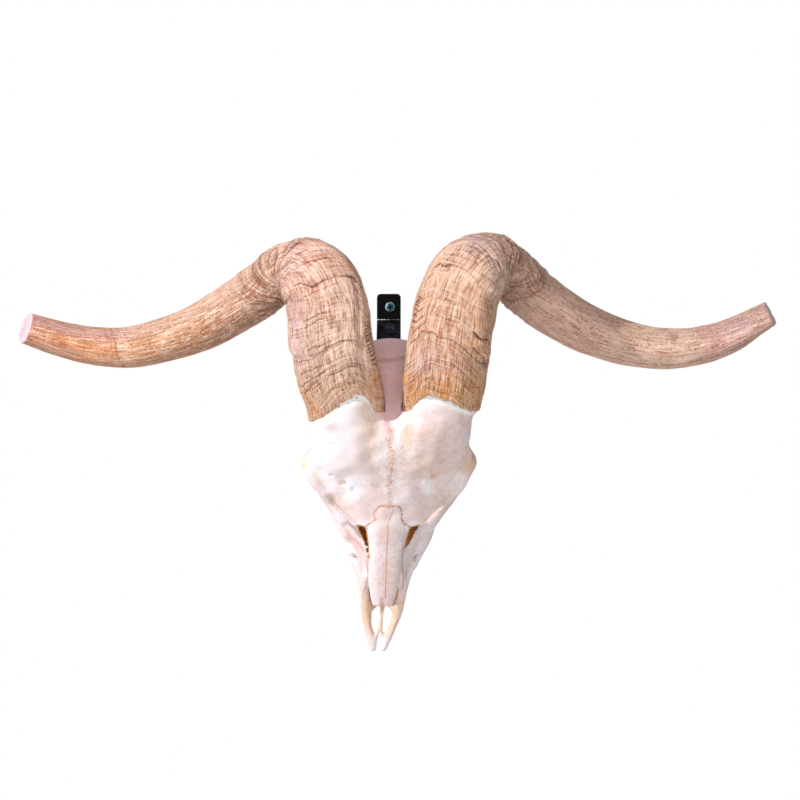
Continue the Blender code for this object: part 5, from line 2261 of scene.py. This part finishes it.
LEFT_SHEATH = HornSheath(
    "horn_sheath_left_skin", LEFT_HORN,
    ledges=(
        Ledge(((24, 0.228), (52, 0.253), (64, 0.2616), (80, 0.2609), (95, 0.2498), (113, 0.2387),
               (126, 0.2352), (147, 0.2304), (180, 0.225), (270, 0.210), (330, 0.215)),
              0.7, 0.75, (50, 160)),
        Ledge(((36, 0.3302), (49, 0.3455), (62, 0.3510), (86, 0.3531), (98, 0.3500),
               (106, 0.3593), (118, 0.3649), (136, 0.3700), (153, 0.3600), (180, 0.362),
               (270, 0.345), (330, 0.330)), 1.5, 1.0, (34, 170)),
        Ledge(((34, 0.3663), (51, 0.3753), (68, 0.3919), (85, 0.4016), (92, 0.415), (120, 0.425),
               (150, 0.415), (180, 0.410), (270, 0.385), (330, 0.365)), 0.8, 0.9, (30, 96)),
        Ledge(((29, 0.5015), (70, 0.4959), (89, 0.4897), (121, 0.4500), (150, 0.445),
               (180, 0.450), (270, 0.48), (330, 0.495)), 0.8, 0.7, (20, 130)),
        Ledge(((17, 0.5493), (48, 0.5500), (79, 0.5472), (101, 0.5320), (144, 0.4945),
               (180, 0.500), (270, 0.53), (330, 0.545)), 0.7, 0.6, (20, 160)),
        Ledge(((34, 0.8371), (73, 0.8301), (101, 0.8246), (138, 0.8183), (200, 0.82),
               (300, 0.835)), 0.45, 0.6, (20, 170)),
    ),
    creases=(
        Crease(((0.4259, 59), (0.4481, 50), (0.4661, 56)), 0.8, 0.4),
        Crease(((0.4176, 64), (0.4301, 77), (0.4488, 79)), 0.7, 0.4),
        Crease(((0.3732, 62), (0.3829, 85), (0.3905, 99), (0.3947, 120)), 0.4),
        Crease(((0.3420, 71), (0.3420, 90), (0.3365, 111), (0.3399, 143)), 0.3, ink=0.6),
        Crease(((0.3060, 89), (0.3046, 97), (0.2942, 117)), 0.35),
        Crease(((0.2976, 92), (0.2838, 116))), Crease(((0.2581, 95), (0.2519, 116))),
        Crease(((0.2283, 101), (0.2193, 123), (0.2103, 145)), 0.35),
        Crease(((0.2193, 97), (0.2068, 118), (0.1860, 156)), 0.35),
        Crease(((0.2020, 111), (0.1756, 152))),
        Crease(((0.2158, 59), (0.2179, 80), (0.2103, 95)), 0.3, ink=0.6),
        Crease(((0.1888, 72), (0.1902, 84), (0.1825, 98)), 0.25, ink=0.5),
        Crease(((0.3392, 47), (0.3150, 48), (0.2838, 55), (0.2484, 53), (0.2082, 58),
                (0.1534, 68)), 0.9, wide=1.8, ink=0.25),
        Crease(((0.5417, 87), (0.5583, 83), (0.6027, 80), (0.6464, 76), (0.7088, 75),
                (0.7594, 79)), 0.8, wide=2.2, ink=0.35),
        Crease(((0.8107, 52), (0.8010, 85), (0.7955, 110)), 0.2, ink=0.4),
        Crease(((0.5209, 21), (0.5188, 62), (0.5147, 87), (0.4592, 126)), 0.6, 0.4),
        Crease(((0.4689, 59), (0.4696, 80), (0.4633, 94), (0.4425, 113)), 0.6, 0.4),
    ),
    lumps=(
        (0.349, 98, 2.2, 3.2, -1.4), (0.236, 158, 2.6, 8, -2.4), (0.250, 155, 6, 9, 1.7),
        (0.346, 162, 3, 9, -2.2), (0.362, 158, 7, 9, 1.5), (0.21, 40, 22, 7, 1.2),
        (0.736, 140, 4, 2, -0.7)),
    ribs=(0.19, 0.30, 8, 48),
    tones={
        Tone.AMBER: (
            (0.17, 35, 42, 9, 0.5), (0.15, 110, 16, 30, 0.55), (0.19, 150, 30, 12, 0.45),
            (0.92, 95, 40, 30, 0.45), (0.77, 100, 50, 44, 0.35)),
        Tone.ROSY: (
            (0.37, 96, 24, 34, 0.35), (0.93, 118, 16, 16, 0.7), (0.91, 62, 40, 6, 0.8)),
        # Dusk: brown spots near the tip, and painted shade on the bend and the outer horn's
        # underside.
        Tone.DUSK: (
            (0.36, 96, 50, 44, 0.26), (0.66, 118, 70, 24, 0.75), (0.57, 130, 34, 24, 0.7),
            (0.77, 100, 50, 44, 0.36), (0.94, 95, 30, 40, 0.16), (0.955, 78, 9, 12, 0.9),
            (0.885, 70, 14, 8, 0.9)),
        # Pale: a few pale spots, and painted light on the lit upper sides and upper rims.
        Tone.PALE: (
            (0.30, 105, 44, 16, 0.3), (0.26, 28, 36, 16, 0.7), (0.42, 60, 34, 22, 0.3),
            (0.18, 84, 34, 50, 0.9), (0.27, 40, 34, 14, 0.6), (0.58, 50, 60, 14, 0.5),
            (0.76, 50, 40, 10, 0.5), (0.815, 95, 7, 34, 0.7), (0.965, 62, 3, 4, 1.0)),
        # Lilac: painted highlights on the lit outer side and the tip's upper edge, on a lilac tint.
        Tone.LILAC: (
            (0.27, 138, 30, 9, 0.5), (0.41, 100, 20, 16, 0.35), (0.88, 55, 60, 7, 0.5))},
    blush=Stretch(((34, 0.8371), (73, 0.8301), (101, 0.8246), (138, 0.8183), (200, 0.82),
                   (300, 0.835)), 0.8),
    tilt=6.5, seed=20)
RIGHT_SHEATH = HornSheath(
    "horn_sheath_right_skin", RIGHT_HORN,
    ledges=(
        Ledge(((18, 0.220), (34, 0.2387), (45, 0.2546), (55, 0.2678), (71, 0.2685), (84, 0.2637),
               (92, 0.2623), (104, 0.2526), (119, 0.2394), (135, 0.2276), (160, 0.222),
               (220, 0.210), (300, 0.205)), 0.8, 0.85, (26, 160)),
        Ledge(((17, 0.345), (48, 0.3566), (71, 0.3614), (89, 0.3649), (100, 0.3570),
               (107, 0.3524), (119, 0.3517), (140, 0.3489), (180, 0.340), (270, 0.330),
               (330, 0.335)), 1.1, 1.0, (20, 160)),
        Ledge(((41, 0.3905), (50, 0.4044), (61, 0.4141), (65, 0.4287), (74, 0.4363), (90, 0.435),
               (120, 0.420), (160, 0.405), (220, 0.39), (300, 0.375), (340, 0.380)),
              0.7, 0.8, (30, 96)),
        Ledge(((46, 0.4460), (62, 0.4523), (71, 0.4675), (87, 0.4689), (117, 0.4363),
               (160, 0.430), (220, 0.43), (300, 0.435)), 0.8, 0.8, (30, 150)),
        Ledge(((43, 0.5119), (56, 0.5292), (74, 0.5320), (90, 0.5167), (129, 0.4529),
               (180, 0.47), (300, 0.50)), 0.8, 0.8, (20, 150)),
        Ledge(((20, 0.816), (47, 0.8100), (86, 0.8072), (116, 0.8090), (200, 0.81), (300, 0.81)),
              0.15, 0.1, (20, 150)),
    ),
    creases=(
        Crease(((0.2997, 18), (0.3094, 39)), 0.9, 0.3, ink=1.0),
        Crease(((0.3136, 62), (0.3170, 79), (0.3136, 89)), ink=0.5),
        Crease(((0.2796, 113), (0.2699, 126), (0.2678, 144)), 1.0, 0.8, ink=1.0),
        Crease(((0.2553, 117), (0.2436, 133), (0.2283, 149)), 0.8, 0.5),
        Crease(((0.4009, 91), (0.4086, 98), (0.4051, 115)), 0.7, 0.4),
        Crease(((0.2838, 29), (0.2976, 48)), 0.45, 0.2),
        Crease(((0.2734, 35), (0.2907, 55)), 0.45, 0.2),
        Crease(((0.2588, 36), (0.2803, 57)), 0.45, 0.2),
        Crease(((0.2484, 42), (0.2124, 48), (0.1701, 51)), 1.0, wide=1.4, ink=0.2),
        Crease(((0.1818, 71), (0.1784, 92), (0.1687, 109)), 0.3, ink=0.5),
        Crease(((0.1909, 110), (0.1860, 146)), ink=0.5),
        Crease(((0.4419, 46), (0.4502, 60), (0.4502, 80), (0.4197, 116)), 0.7, 0.5),
        Crease(((0.5396, 57), (0.5452, 81), (0.5313, 104), (0.5167, 152)), 0.5, 0.3),
        Crease(((0.5854, 151), (0.6242, 158), (0.6859, 153), (0.7421, 140), (0.7858, 142),
                (0.8599, 131), (0.9182, 134), (0.9681, 137)), 0.4, ink=1.0),
        Crease(((0.8537, 40), (0.8655, 89), (0.8405, 111)), 0.2, ink=0.2),
    ),
    lumps=(
        (0.286, 126, 5, 6, 2.2), (0.262, 134, 4, 6, 2.6), (0.243, 144, 3.5, 5, 2.4),
        (0.228, 150, 2.6, 5, -2.2), (0.274, 146, 2.4, 5, -2.2), (0.252, 136, 1.6, 4, -1.8),
        (0.365, 120, 7, 9, 1.0), (1.0, 180, 20, 20, -5.0), (0.20, 32, 26, 7, 1.4),
        (0.352, 116, 2, 4, -0.8)),
    ribs=(0.25, 0.33, 10, 44),
    tones={
        Tone.AMBER: (
            (0.175, 74, 13, 16, 1.0), (0.16, 120, 14, 22, 0.6), (0.20, 32, 26, 7, 0.4),
            (0.24, 84, 60, 50, 0.34)),
        Tone.ROSY: (
            (0.64, 100, 50, 60, 0.3),),
        # Dusk: a dark band, and painted shade under the bend.
        Tone.DUSK: (
            (0.49, 124, 34, 30, 0.6), (0.809, 100, 2.5, 14, 0.7)),
        # Pale: paler tone, and painted light on the outer horn's lit side and upper rim.
        Tone.PALE: (
            (0.39, 84, 20, 30, 0.9), (0.43, 90, 24, 40, 0.8), (0.30, 60, 40, 16, 0.3),
            (0.93, 90, 50, 60, 0.9), (0.82, 80, 90, 60, 1.2), (0.68, 70, 60, 50, 0.9),
            (0.57, 35, 60, 12, 0.5), (0.93, 152, 60, 5, 0.8)),
        # Lilac: a painted highlight on the bend's top, on a lilac tint.
        Tone.LILAC: (
            (0.22, 58, 14, 9, 0.4), (0.405, 66, 8, 15, 0.5), (0.96, 90, 34, 34, 0.4))},
    blush=Stretch(((43, 0.845), (86, 0.852), (125, 0.84), (200, 0.84), (300, 0.84)), 0.55, 14.0),
    tilt=2.5, seed=50)


@dataclass(frozen=True)
class Socket(Form):
    """Squared pit for a tooth's root: its middle, half width and half length."""

    x: float
    u: float
    half_x: float
    half_u: float
    floor: float = 7.6
    mouth: float = -12.0

    def reach(self) -> Tuple[np.ndarray, np.ndarray]:
        """Lowest and highest corner of the pit.

        Returns:
            The two corners.
        """
        return (np.array((self.x - self.half_x, self.u - self.half_u, self.mouth)),
                np.array((self.x + self.half_x, self.u + self.half_u, self.floor)))

    def distance(self, x: np.ndarray, u: np.ndarray, h: np.ndarray) -> np.ndarray:
        """A rounded oblong across, narrowing towards its floor.

        Args:
            x, u, h: the points, as arrays of one shape.

        Returns:
            The distance at each point.
        """
        narrow = np.interp(h, (-3.0, 1.0, 7.0), (1.0, 0.86, 0.68))
        side, run = (x - self.x) / (self.half_x * narrow), (u - self.u) / self.half_u
        full = (np.abs(side) ** 3.2 + np.abs(run) ** 3.2) ** (1 / 3.2)
        return np.maximum((full - 1) * min(self.half_x, self.half_u), h - self.floor)


@dataclass(frozen=True)
class CheekTooth:
    """Cheek tooth: a squared crown with lobes, crescent folds on top and a tapering root.

    Sizes are the length and width of all six; rings are rows of h and share of the full size.
    """

    name: str
    side: float
    number: int
    sizes: Knots = ((8.5, 8.0), (9.5, 10.0), (11.0, 12.0), (14.0, 14.0), (17.0, 15.0), (18.0, 14.0))
    row_u: float = 74.0
    row_x: Tuple[float, float] = (20.5, 28.5)
    row_curve: float = 0.8
    gap: float = 0.5
    play: float = 0.35
    square: float = 0.62
    slim: float = 0.92
    rings: Knots = ((7.0, 0.62), (1.0, 0.84), (-3.0, 1.0), (-8.3, 0.94), (-9.5, 0.72))
    around: int = 56
    rows: int = 22

    @property
    def middle(self) -> Tuple[float, float]:
        """The tooth's place on its row, which bows outwards towards the back.

        Returns:
            Its x and u.
        """
        long = self.sizes[self.number][0]
        row_long = sum(size[0] + self.gap for size in self.sizes) - self.gap
        along = sum(size[0] + self.gap for size in self.sizes[:self.number]) + long / 2
        inner, outer = self.row_x
        x = inner + (outer - inner) * (along / row_long) ** self.row_curve
        return x, self.row_u + along

    @property
    def socket(self) -> Socket:
        """The room that the root takes in the bone.

        Returns:
            Its form.
        """
        long, wide = self.sizes[self.number]
        x, u = self.middle
        return Socket(self.side * x, u, wide / 2 * self.slim + self.play, long / 2 + self.play)

    @property
    def lobes(self) -> int:
        """The back three teeth have two lobes."""
        return 2 if self.number > 2 else 1

    def folds(self, x: np.ndarray, u: np.ndarray) -> np.ndarray:
        """Depth of the crescent folds: a bell over the distance from a bowed line in each lobe.

        Args:
            x, u: where to read it, -1 to 1 over the chewing face.

        Returns:
            The depth, 0 to 1.
        """
        deep = np.zeros(x.shape)
        middles, size = ((-0.5, 0.5), 0.34) if self.lobes == 2 else ((0.0,), 0.62)
        for middle in middles:
            run = (u - middle) / size
            bow = x - 0.18 + 0.28 * run**2
            deep = np.maximum(deep, np.exp(-((bow / 0.13) ** 2)) * fall(np.abs(run), 0.7, 1))
        return deep

    def walls(self, turn: np.ndarray) -> Tuple[np.ndarray, np.ndarray]:
        """Root and crown as rings of a superellipse, whose radius dips where two lobes meet.

        The share of the full size is read from the rings' table and smoothed over five rows.

        Args:
            turn: the angles of a ring's points.

        Returns:
            The rings about the tooth's middle, and the stain at each point.
        """
        long, wide = self.sizes[self.number]
        across, up = superellipse(turn, self.square)
        dip = 1 - 0.10 * np.exp(-((up / 0.16) ** 2)) * (np.abs(across) > 0.5) * (self.lobes == 2)
        levels, known = np.linspace(0, 1, self.rows), np.linspace(0, 1, len(self.rings))
        h, full = (np.interp(levels, known, column) for column in np.array(self.rings).T)
        full = np.convolve(np.pad(full, 2, "edge"), np.ones(5) / 5, "valid")[:, None]
        x = wide / 2 * self.slim * full * across * dip
        u = long / 2 * (0.8 + 0.2 * full) * up
        h = h[:, None].repeat(len(turn), axis=1)
        return np.stack([x, u, h], axis=-1), ease(h, -4, 2) * 0.5 + (1 - dip) * 5

    def top(self, rim: np.ndarray) -> Tuple[np.ndarray, np.ndarray]:
        """The chewing face in rings from the crown's rim to its middle, lowered along the folds.

        Args:
            rim: the crown's last ring.

        Returns:
            The rings about the tooth's middle, and the stain at each point.
        """
        long, wide = self.sizes[self.number]
        inward = np.linspace(0.93, 0.06, 14)[:, None]
        x, u = rim[:, 0] * inward, rim[:, 1] * inward
        fold = self.folds(x / (wide / 2), u / (long / 2))
        h = self.rings[-1][0] - 0.15 + 1.1 * fold * np.clip((0.96 - inward) * 6, 0, 1)
        return np.stack([x, u, h], axis=-1), np.clip(fold * 1.1, 0, 1)

    def build(self, finish: bpy.types.Material) -> None:
        """Joins the walls and the chewing face, and sets the tooth in its row.

        Args:
            finish: the enamel's material.
        """
        walls, wall_stain = self.walls(full_turn(self.around))
        top, top_stain = self.top(walls[-1])
        points, faces = closed_rings(np.concatenate([walls, top]), flip=True)
        stain = np.concatenate([wall_stain.ravel(), top_stain.ravel(), [0.5, 0.3]]).clip(0, 1)
        points = (points + (*self.middle, 0)) * (self.side, 1, 1)
        faces = faces if self.side > 0 else [face[::-1] for face in faces]
        piece = make_piece(self.name + "_crown", skull_to_world(points), faces, {"fold": stain})
        hand_over(piece, finish, [self.name])


TEETH = tuple(CheekTooth(f"tooth_{name}_{number + 1}", side, number)
              for name, side in (("left", -1.0), ("right", 1.0)) for number in range(6))


@dataclass(frozen=True)
class Hanger:
    """Flat steel strap: a tab on the wall, a fold, an arm through the skull's base and a hook.

    The hole is given by its x, z and radius, and fold_middle is a row number of the line.
    """

    width: float = 18.6
    thick: float = 3.0
    tab_top: float = 16.4
    tab_corner: float = 3.0
    fold_z: float = -4.7
    fold_radius: float = 3.5
    slope_deg: float = 31.0
    arm_long: float = 70.5
    hook_long: float = 7.5
    hook_turn_deg: float = 28.0
    edge_round: float = 0.55
    fold_middle: float = 24.5
    hole: Tuple[float, float, float] = (0.9, 6.2, 2.6)

    def line(self) -> Tuple[np.ndarray, np.ndarray]:
        """Middle line of the strap and its half width.

        The tab runs straight down, the fold is an arc, the arm is straight and the hook is an
        arc the other way. The half width follows a quarter circle at the tab's two corners.

        Returns:
            Rows of y and z, and the half width at each.
        """
        back = -self.thick / 2
        corner = np.linspace(0, math.pi / 2, 9)
        half = [self.width / 2 - self.tab_corner * (1 - np.sin(corner))]
        top = self.tab_top - self.tab_corner * (1 - np.cos(corner))
        spots = [np.stack([np.full(9, back), top], axis=1)]
        tab = np.linspace(self.tab_top - self.tab_corner, self.fold_z + 1.5, 12)[1:]
        spots.append(np.stack([np.full(11, back), tab], axis=1))
        slope = math.radians(self.slope_deg)
        turn = math.pi / 2 - slope
        lift = self.fold_radius * math.tan(turn / 2)
        a = -turn * np.linspace(0, 1, 10)
        fold = np.stack([back - self.fold_radius * (1 - np.cos(a)),
                         self.fold_z + lift + self.fold_radius * np.sin(a)], axis=1)
        spots.append(fold)
        arm = np.linspace(0, self.arm_long, 26)[1:, None]
        spots.append(fold[-1] - arm * (math.cos(slope), math.sin(slope)))
        steps = 10
        whole_turn = 2 * slope + math.radians(self.hook_turn_deg)
        bend = -slope + whole_turn * np.arange(1, steps + 1) / steps
        hook = np.cumsum(np.stack([-np.cos(bend), np.sin(bend)], axis=1), axis=0)
        spots.append(spots[-1][-1] + hook * self.hook_long / steps)
        line = np.concatenate(spots)
        half.append(np.full(len(line) - 9, self.width / 2))
        return line, np.concatenate(half)

    def build(self, effects: Effects) -> None:
        """Carries a rounded oblong section along the line and bores the screw's hole.

        Args:
            effects: the shared effects.
        """
        line, half = self.line()
        tangent = np.gradient(line, axis=0)
        tangent /= np.linalg.norm(tangent, axis=1, keepdims=True)
        out = np.stack([-tangent[:, 1], tangent[:, 0]], axis=1)
        section = self.section()
        flat = section[None, :, 0] * half[:, None]
        flat -= np.sign(section[None, :, 0]) * (np.abs(section[None, :, 2]))
        lift = section[None, :, 1] * self.thick / 2
        y = line[:, :1] + out[:, :1] * lift
        z = line[:, 1:] + out[:, 1:] * lift
        rings = np.stack([flat, y, z], axis=-1)
        points, faces = closed_rings(rings)
        fold_row = np.abs(np.arange(len(line)) - self.fold_middle)
        wear = 0.66 * np.exp(-((fold_row / 3.2) ** 2))[:, None]
        wear = wear * (0.4 + 0.6 * (section[:, 1] < 0))
        edge = 0.10 * (np.abs(section[:, 0]) > 0.96)
        wear = wear * (0.84 - 0.14 * section[:, 0]) + edge
        # Where the painted sheen lies: the arm, from row 26 on.
        arm_sheen = ease(np.arange(len(line)), 26, 32)[:, None] * np.ones(len(section))
        marks = {"wear": np.append(wear.ravel(), (0.0, 0.0)),
                 "arm_sheen": np.append(arm_sheen.ravel(), (0.0, 1.0))}
        piece = make_piece("wall_hanger_strap", points, faces, marks)
        self.bore(piece)
        piece.data.set_sharp_from_angle(angle=math.radians(40))
        hand_over(piece, SteelFinish().material(effects), ["wall_hanger"])

    def section(self) -> np.ndarray:
        """Oblong with half-round edges.

        Returns:
            Rows of side -1 to 1, lift -1 to 1 and inset of the side.
        """
        rim = np.linspace(-math.pi / 2, math.pi / 2, 7)
        side = np.ones(7)
        inset = self.edge_round * (1 - np.cos(rim))
        lift = 1 - self.edge_round / (self.thick / 2) * (1 - np.abs(np.sin(rim)))
        lift = np.sign(np.sin(rim)) * np.where(np.abs(rim) > 0.1, lift, 0)
        right = np.stack([side, lift, inset], axis=1)
        across = np.linspace(0.86, -0.86, 12)
        top = np.stack([across, np.ones(12), np.zeros(12)], axis=1)
        left = right[::-1] * (-1, 1, 1)
        under = top[::-1] * (1, -1, 1)
        return np.concatenate([right, top, left, under])

    def bore(self, piece: bpy.types.Object) -> None:
        """Cuts the round hole through the tab.

        Args:
            piece: the strap.
        """
        x, z, radius = self.hole
        bm = bmesh.new()
        spot = Matrix.Translation(Vector((x, -self.thick / 2, z)) * MM)
        bmesh.ops.create_cone(bm, cap_ends=True, segments=40, radius1=radius * MM,
                              radius2=radius * MM, depth=self.thick * 3 * MM,
                              matrix=spot @ Matrix.Rotation(math.pi / 2, 4, "X"))
        mesh = bpy.data.meshes.new("hole")
        bm.to_mesh(mesh)
        bm.free()
        cutter = bpy.data.objects.new("hole", mesh)
        bpy.context.scene.collection.objects.link(cutter)
        cut = piece.modifiers.new("hole", "BOOLEAN")
        cut.operation, cut.solver, cut.object = "DIFFERENCE", "EXACT", cutter
        bored = bpy.data.meshes.new_from_object(
            piece.evaluated_get(bpy.context.evaluated_depsgraph_get()))
        piece.modifiers.clear()
        piece.data = bored
        bpy.data.objects.remove(cutter)


@dataclass(frozen=True)
class Screw:
    """Round-headed wood screw with a cross recess and a threaded shank."""

    x: float = 0.9
    z: float = 6.2
    face: float = 3.3
    head_radius: float = 3.8
    head_dome: float = 2.4
    shank_radius: float = 2.1
    shank_long: float = 26.0
    point_long: float = 6.0
    thread: float = 0.45
    thread_from: float = 1.5
    pitch: float = 2.0
    recess_deep: float = 1.3
    recess_long: float = 2.3
    recess_wide: float = 0.55
    recess_turn: float = 0.35
    around: int = 72

    def head(self, turn: np.ndarray) -> Tuple[np.ndarray, np.ndarray, np.ndarray]:
        """The head: a quarter ellipse turned about the axis, sunk where the two arms run.

        Args:
            turn: the angles of a ring's points.

        Returns:
            Its rings, how far each point lies in the cross, and how near the rim it is.
        """
        share = np.linspace(0.03, 1, 34)
        radius = (self.head_radius * np.sin(share * math.pi / 2))[:, None]
        dome = (self.head_dome * np.cos(share * math.pi / 2))[:, None]
        u, v = radius * np.cos(turn), radius * np.sin(turn)
        c, s = math.cos(self.recess_turn), math.sin(self.recess_turn)
        a, b = np.abs(u * c + v * s), np.abs(v * c - u * s)
        wide, long = self.recess_wide, self.recess_long
        arm = np.maximum(*(fall(near, wide - 0.15, wide + 0.15) * fall(far, long - 0.5, long)
                           for near, far in ((a, b), (b, a))))
        deep = self.recess_deep * arm * np.clip(1 - 0.45 * radius / long, 0, 1)
        rim = np.broadcast_to(ease(radius, 2.5, 3.4), arm.shape)
        return np.stack([u, -self.face - dome + deep, v], axis=-1), arm, rim

    def shank(self, turn: np.ndarray) -> np.ndarray:
        """The head's flat underside, then the shank.

        Its radius is the core's, which ends in a square root, and from the thread's start on the
        peaks of a wave of the depth over the pitch less the share of the turn.

        Args:
            turn: the angles of a ring's points.

        Returns:
            Their rings.
        """
        under = np.array([(self.head_radius - 0.25, -self.face), (self.shank_radius, -self.face)])
        deep = np.linspace(-self.face + 0.3, self.shank_long - 0.05, 110)[:, None]
        taper = np.sqrt(np.clip((self.shank_long - deep) / self.point_long, 0, 1))
        core = (self.shank_radius - self.thread) * taper
        wave = (deep / self.pitch - turn / (2 * math.pi)) % 1.0
        threaded = deep > self.thread_from
        crest = self.thread * np.clip(1 - np.abs(wave - 0.5) * 5, 0, 1) * threaded
        body = np.where(threaded, core + crest * taper + 0.02, self.shank_radius)
        radius = np.concatenate([under[:, :1].repeat(len(turn), axis=1), body])
        y = np.concatenate([under[:, 1:], deep]).repeat(len(turn), axis=1)
        return np.stack([radius * np.cos(turn), y, radius * np.sin(turn)], axis=-1)

    def build(self, effects: Effects) -> None:
        """Joins the head and the shank.

        Args:
            effects: the shared effects.
        """
        turn = full_turn(self.around)
        head, recess, rim = self.head(turn)
        shank = self.shank(turn)
        points, faces = closed_rings(np.concatenate([head, shank]) + (self.x, 0, self.z), flip=True)
        rest = np.zeros(len(shank) * self.around)
        marks = {"rim": np.concatenate([rim.ravel(), rest, (0.0, 0.0)]),
                 "recess": np.concatenate([recess.ravel(), rest, (1.0, 0.0)])}
        piece = make_piece("hanger_screw_head", points, faces, marks)
        piece.data.set_sharp_from_angle(angle=math.radians(45))
        hand_over(piece, ZincFinish().material(effects), ["hanger_screw"])


@dataclass(frozen=True)
class Studio:
    """Plain pale floor, soft studio light and the camera."""

    eye: Tuple[float, float, float] = (8.7, -1680.0, -66.3)
    lens: float = 96.885
    sensor: float = 36.0
    floor_z: float = -640.0
    floor_radius: float = 1200.0
    pale: Colour = srgb(236, 236, 236)
    fill: float = 0.42
    aim: Tuple[float, float, float] = (0.0, -70.0, -70.0)
    far: float = 20.0

    def build(self) -> None:
        """Sets up the floor, the lights, the surroundings and the camera."""
        self.floor()
        self.light("key", (-1544, -1186, 993), 36, 56.0, (1.0, 0.99, 1.0))
        self.light("front", (60, -2100, 250), 1000, 9.5, (1.0, 0.98, 0.97))
        self.surroundings()
        data = bpy.data.cameras.new("camera")
        data.lens, data.sensor_width, data.sensor_fit = self.lens, self.sensor, "HORIZONTAL"
        data.clip_end = self.far
        camera = bpy.data.objects.new("camera", data)
        camera.location = Vector(self.eye) * MM
        camera.rotation_euler = (math.pi / 2, 0, 0)
        bpy.context.scene.collection.objects.link(camera)
        bpy.context.scene.camera = camera
        bpy.context.scene.view_settings.view_transform = "Standard"

    def floor(self) -> None:
        """A round pale floor well below the skull, drawn as rings about its middle."""
        turn = full_turn(96)
        radius = np.array([0.05, 0.4, 0.8, 1.0])[:, None] * self.floor_radius
        x, y = radius * np.cos(turn), radius * np.sin(turn)
        top = np.stack([x, y, np.full(x.shape, self.floor_z)], axis=-1)
        rings = np.concatenate([top, top[::-1] - (0, 0, 8.0)])
        points, faces = closed_rings(rings)
        floor = make_piece("floor", points, faces, {})
        floor.data.set_sharp_from_angle(angle=math.radians(40))
        made, _, shader = new_material("pale floor")
        shader.inputs["Base Color"].default_value = self.pale
        shader.inputs["Roughness"].default_value = 0.8
        floor.data.materials.append(made)

    def light(self, name: str, spot: Sequence[float], size: float, power: float,
              tint: Tuple[float, float, float]) -> None:
        """A square soft light aimed at the skull.

        Args:
            name: its name.
            spot: where it hangs, in millimetres.
            size: its side in millimetres.
            power: its power in watts.
            tint: its colour.
        """
        data = bpy.data.lights.new(name, "AREA")
        data.energy, data.size, data.color = power, size * MM, tint
        lamp = bpy.data.objects.new(name, data)
        lamp.location = Vector(spot) * MM
        aim = Vector(self.aim) * MM - lamp.location
        lamp.rotation_euler = aim.to_track_quat("-Z", "Y").to_euler()
        bpy.context.scene.collection.objects.link(lamp)

    def surroundings(self) -> None:
        """White all round, dimmer as a light than it looks."""
        world = bpy.data.worlds.new("white studio")
        bpy.context.scene.world = world
        world.use_nodes = True
        world.node_tree.nodes.clear()
        board = Board(world.node_tree)
        seen = board.node("Background", Color=(1, 1, 1, 1), Strength=1.0)
        lit = board.node("Background", Color=(0.97, 0.98, 1.0, 1), Strength=self.fill)
        mixed = board.node("MixShader")
        board.plug(mixed.inputs[0], board.node("LightPath").outputs["Is Camera Ray"])
        board.plug(mixed.inputs[1], lit.outputs[0])
        board.plug(mixed.inputs[2], seen.outputs[0])
        out = board.node("OutputWorld")
        board.plug(out.inputs["Surface"], mixed.outputs[0])


def main() -> None:
    """Loads the frame, then builds the studio and every piece in turn."""
    logging.basicConfig(level=logging.INFO, format="%(name)s %(message)s")
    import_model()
    Studio().build()
    effects = Effects()
    Skull().build(effects)
    horn = HornFinish().material(effects)
    for sheath in (LEFT_SHEATH, RIGHT_SHEATH):
        sheath.build(horn)
    enamel = EnamelFinish().material(effects)
    for tooth in TEETH:
        tooth.build(enamel)
    Hanger().build(effects)
    Screw().build(effects)


if __name__ == "__main__":
    main()
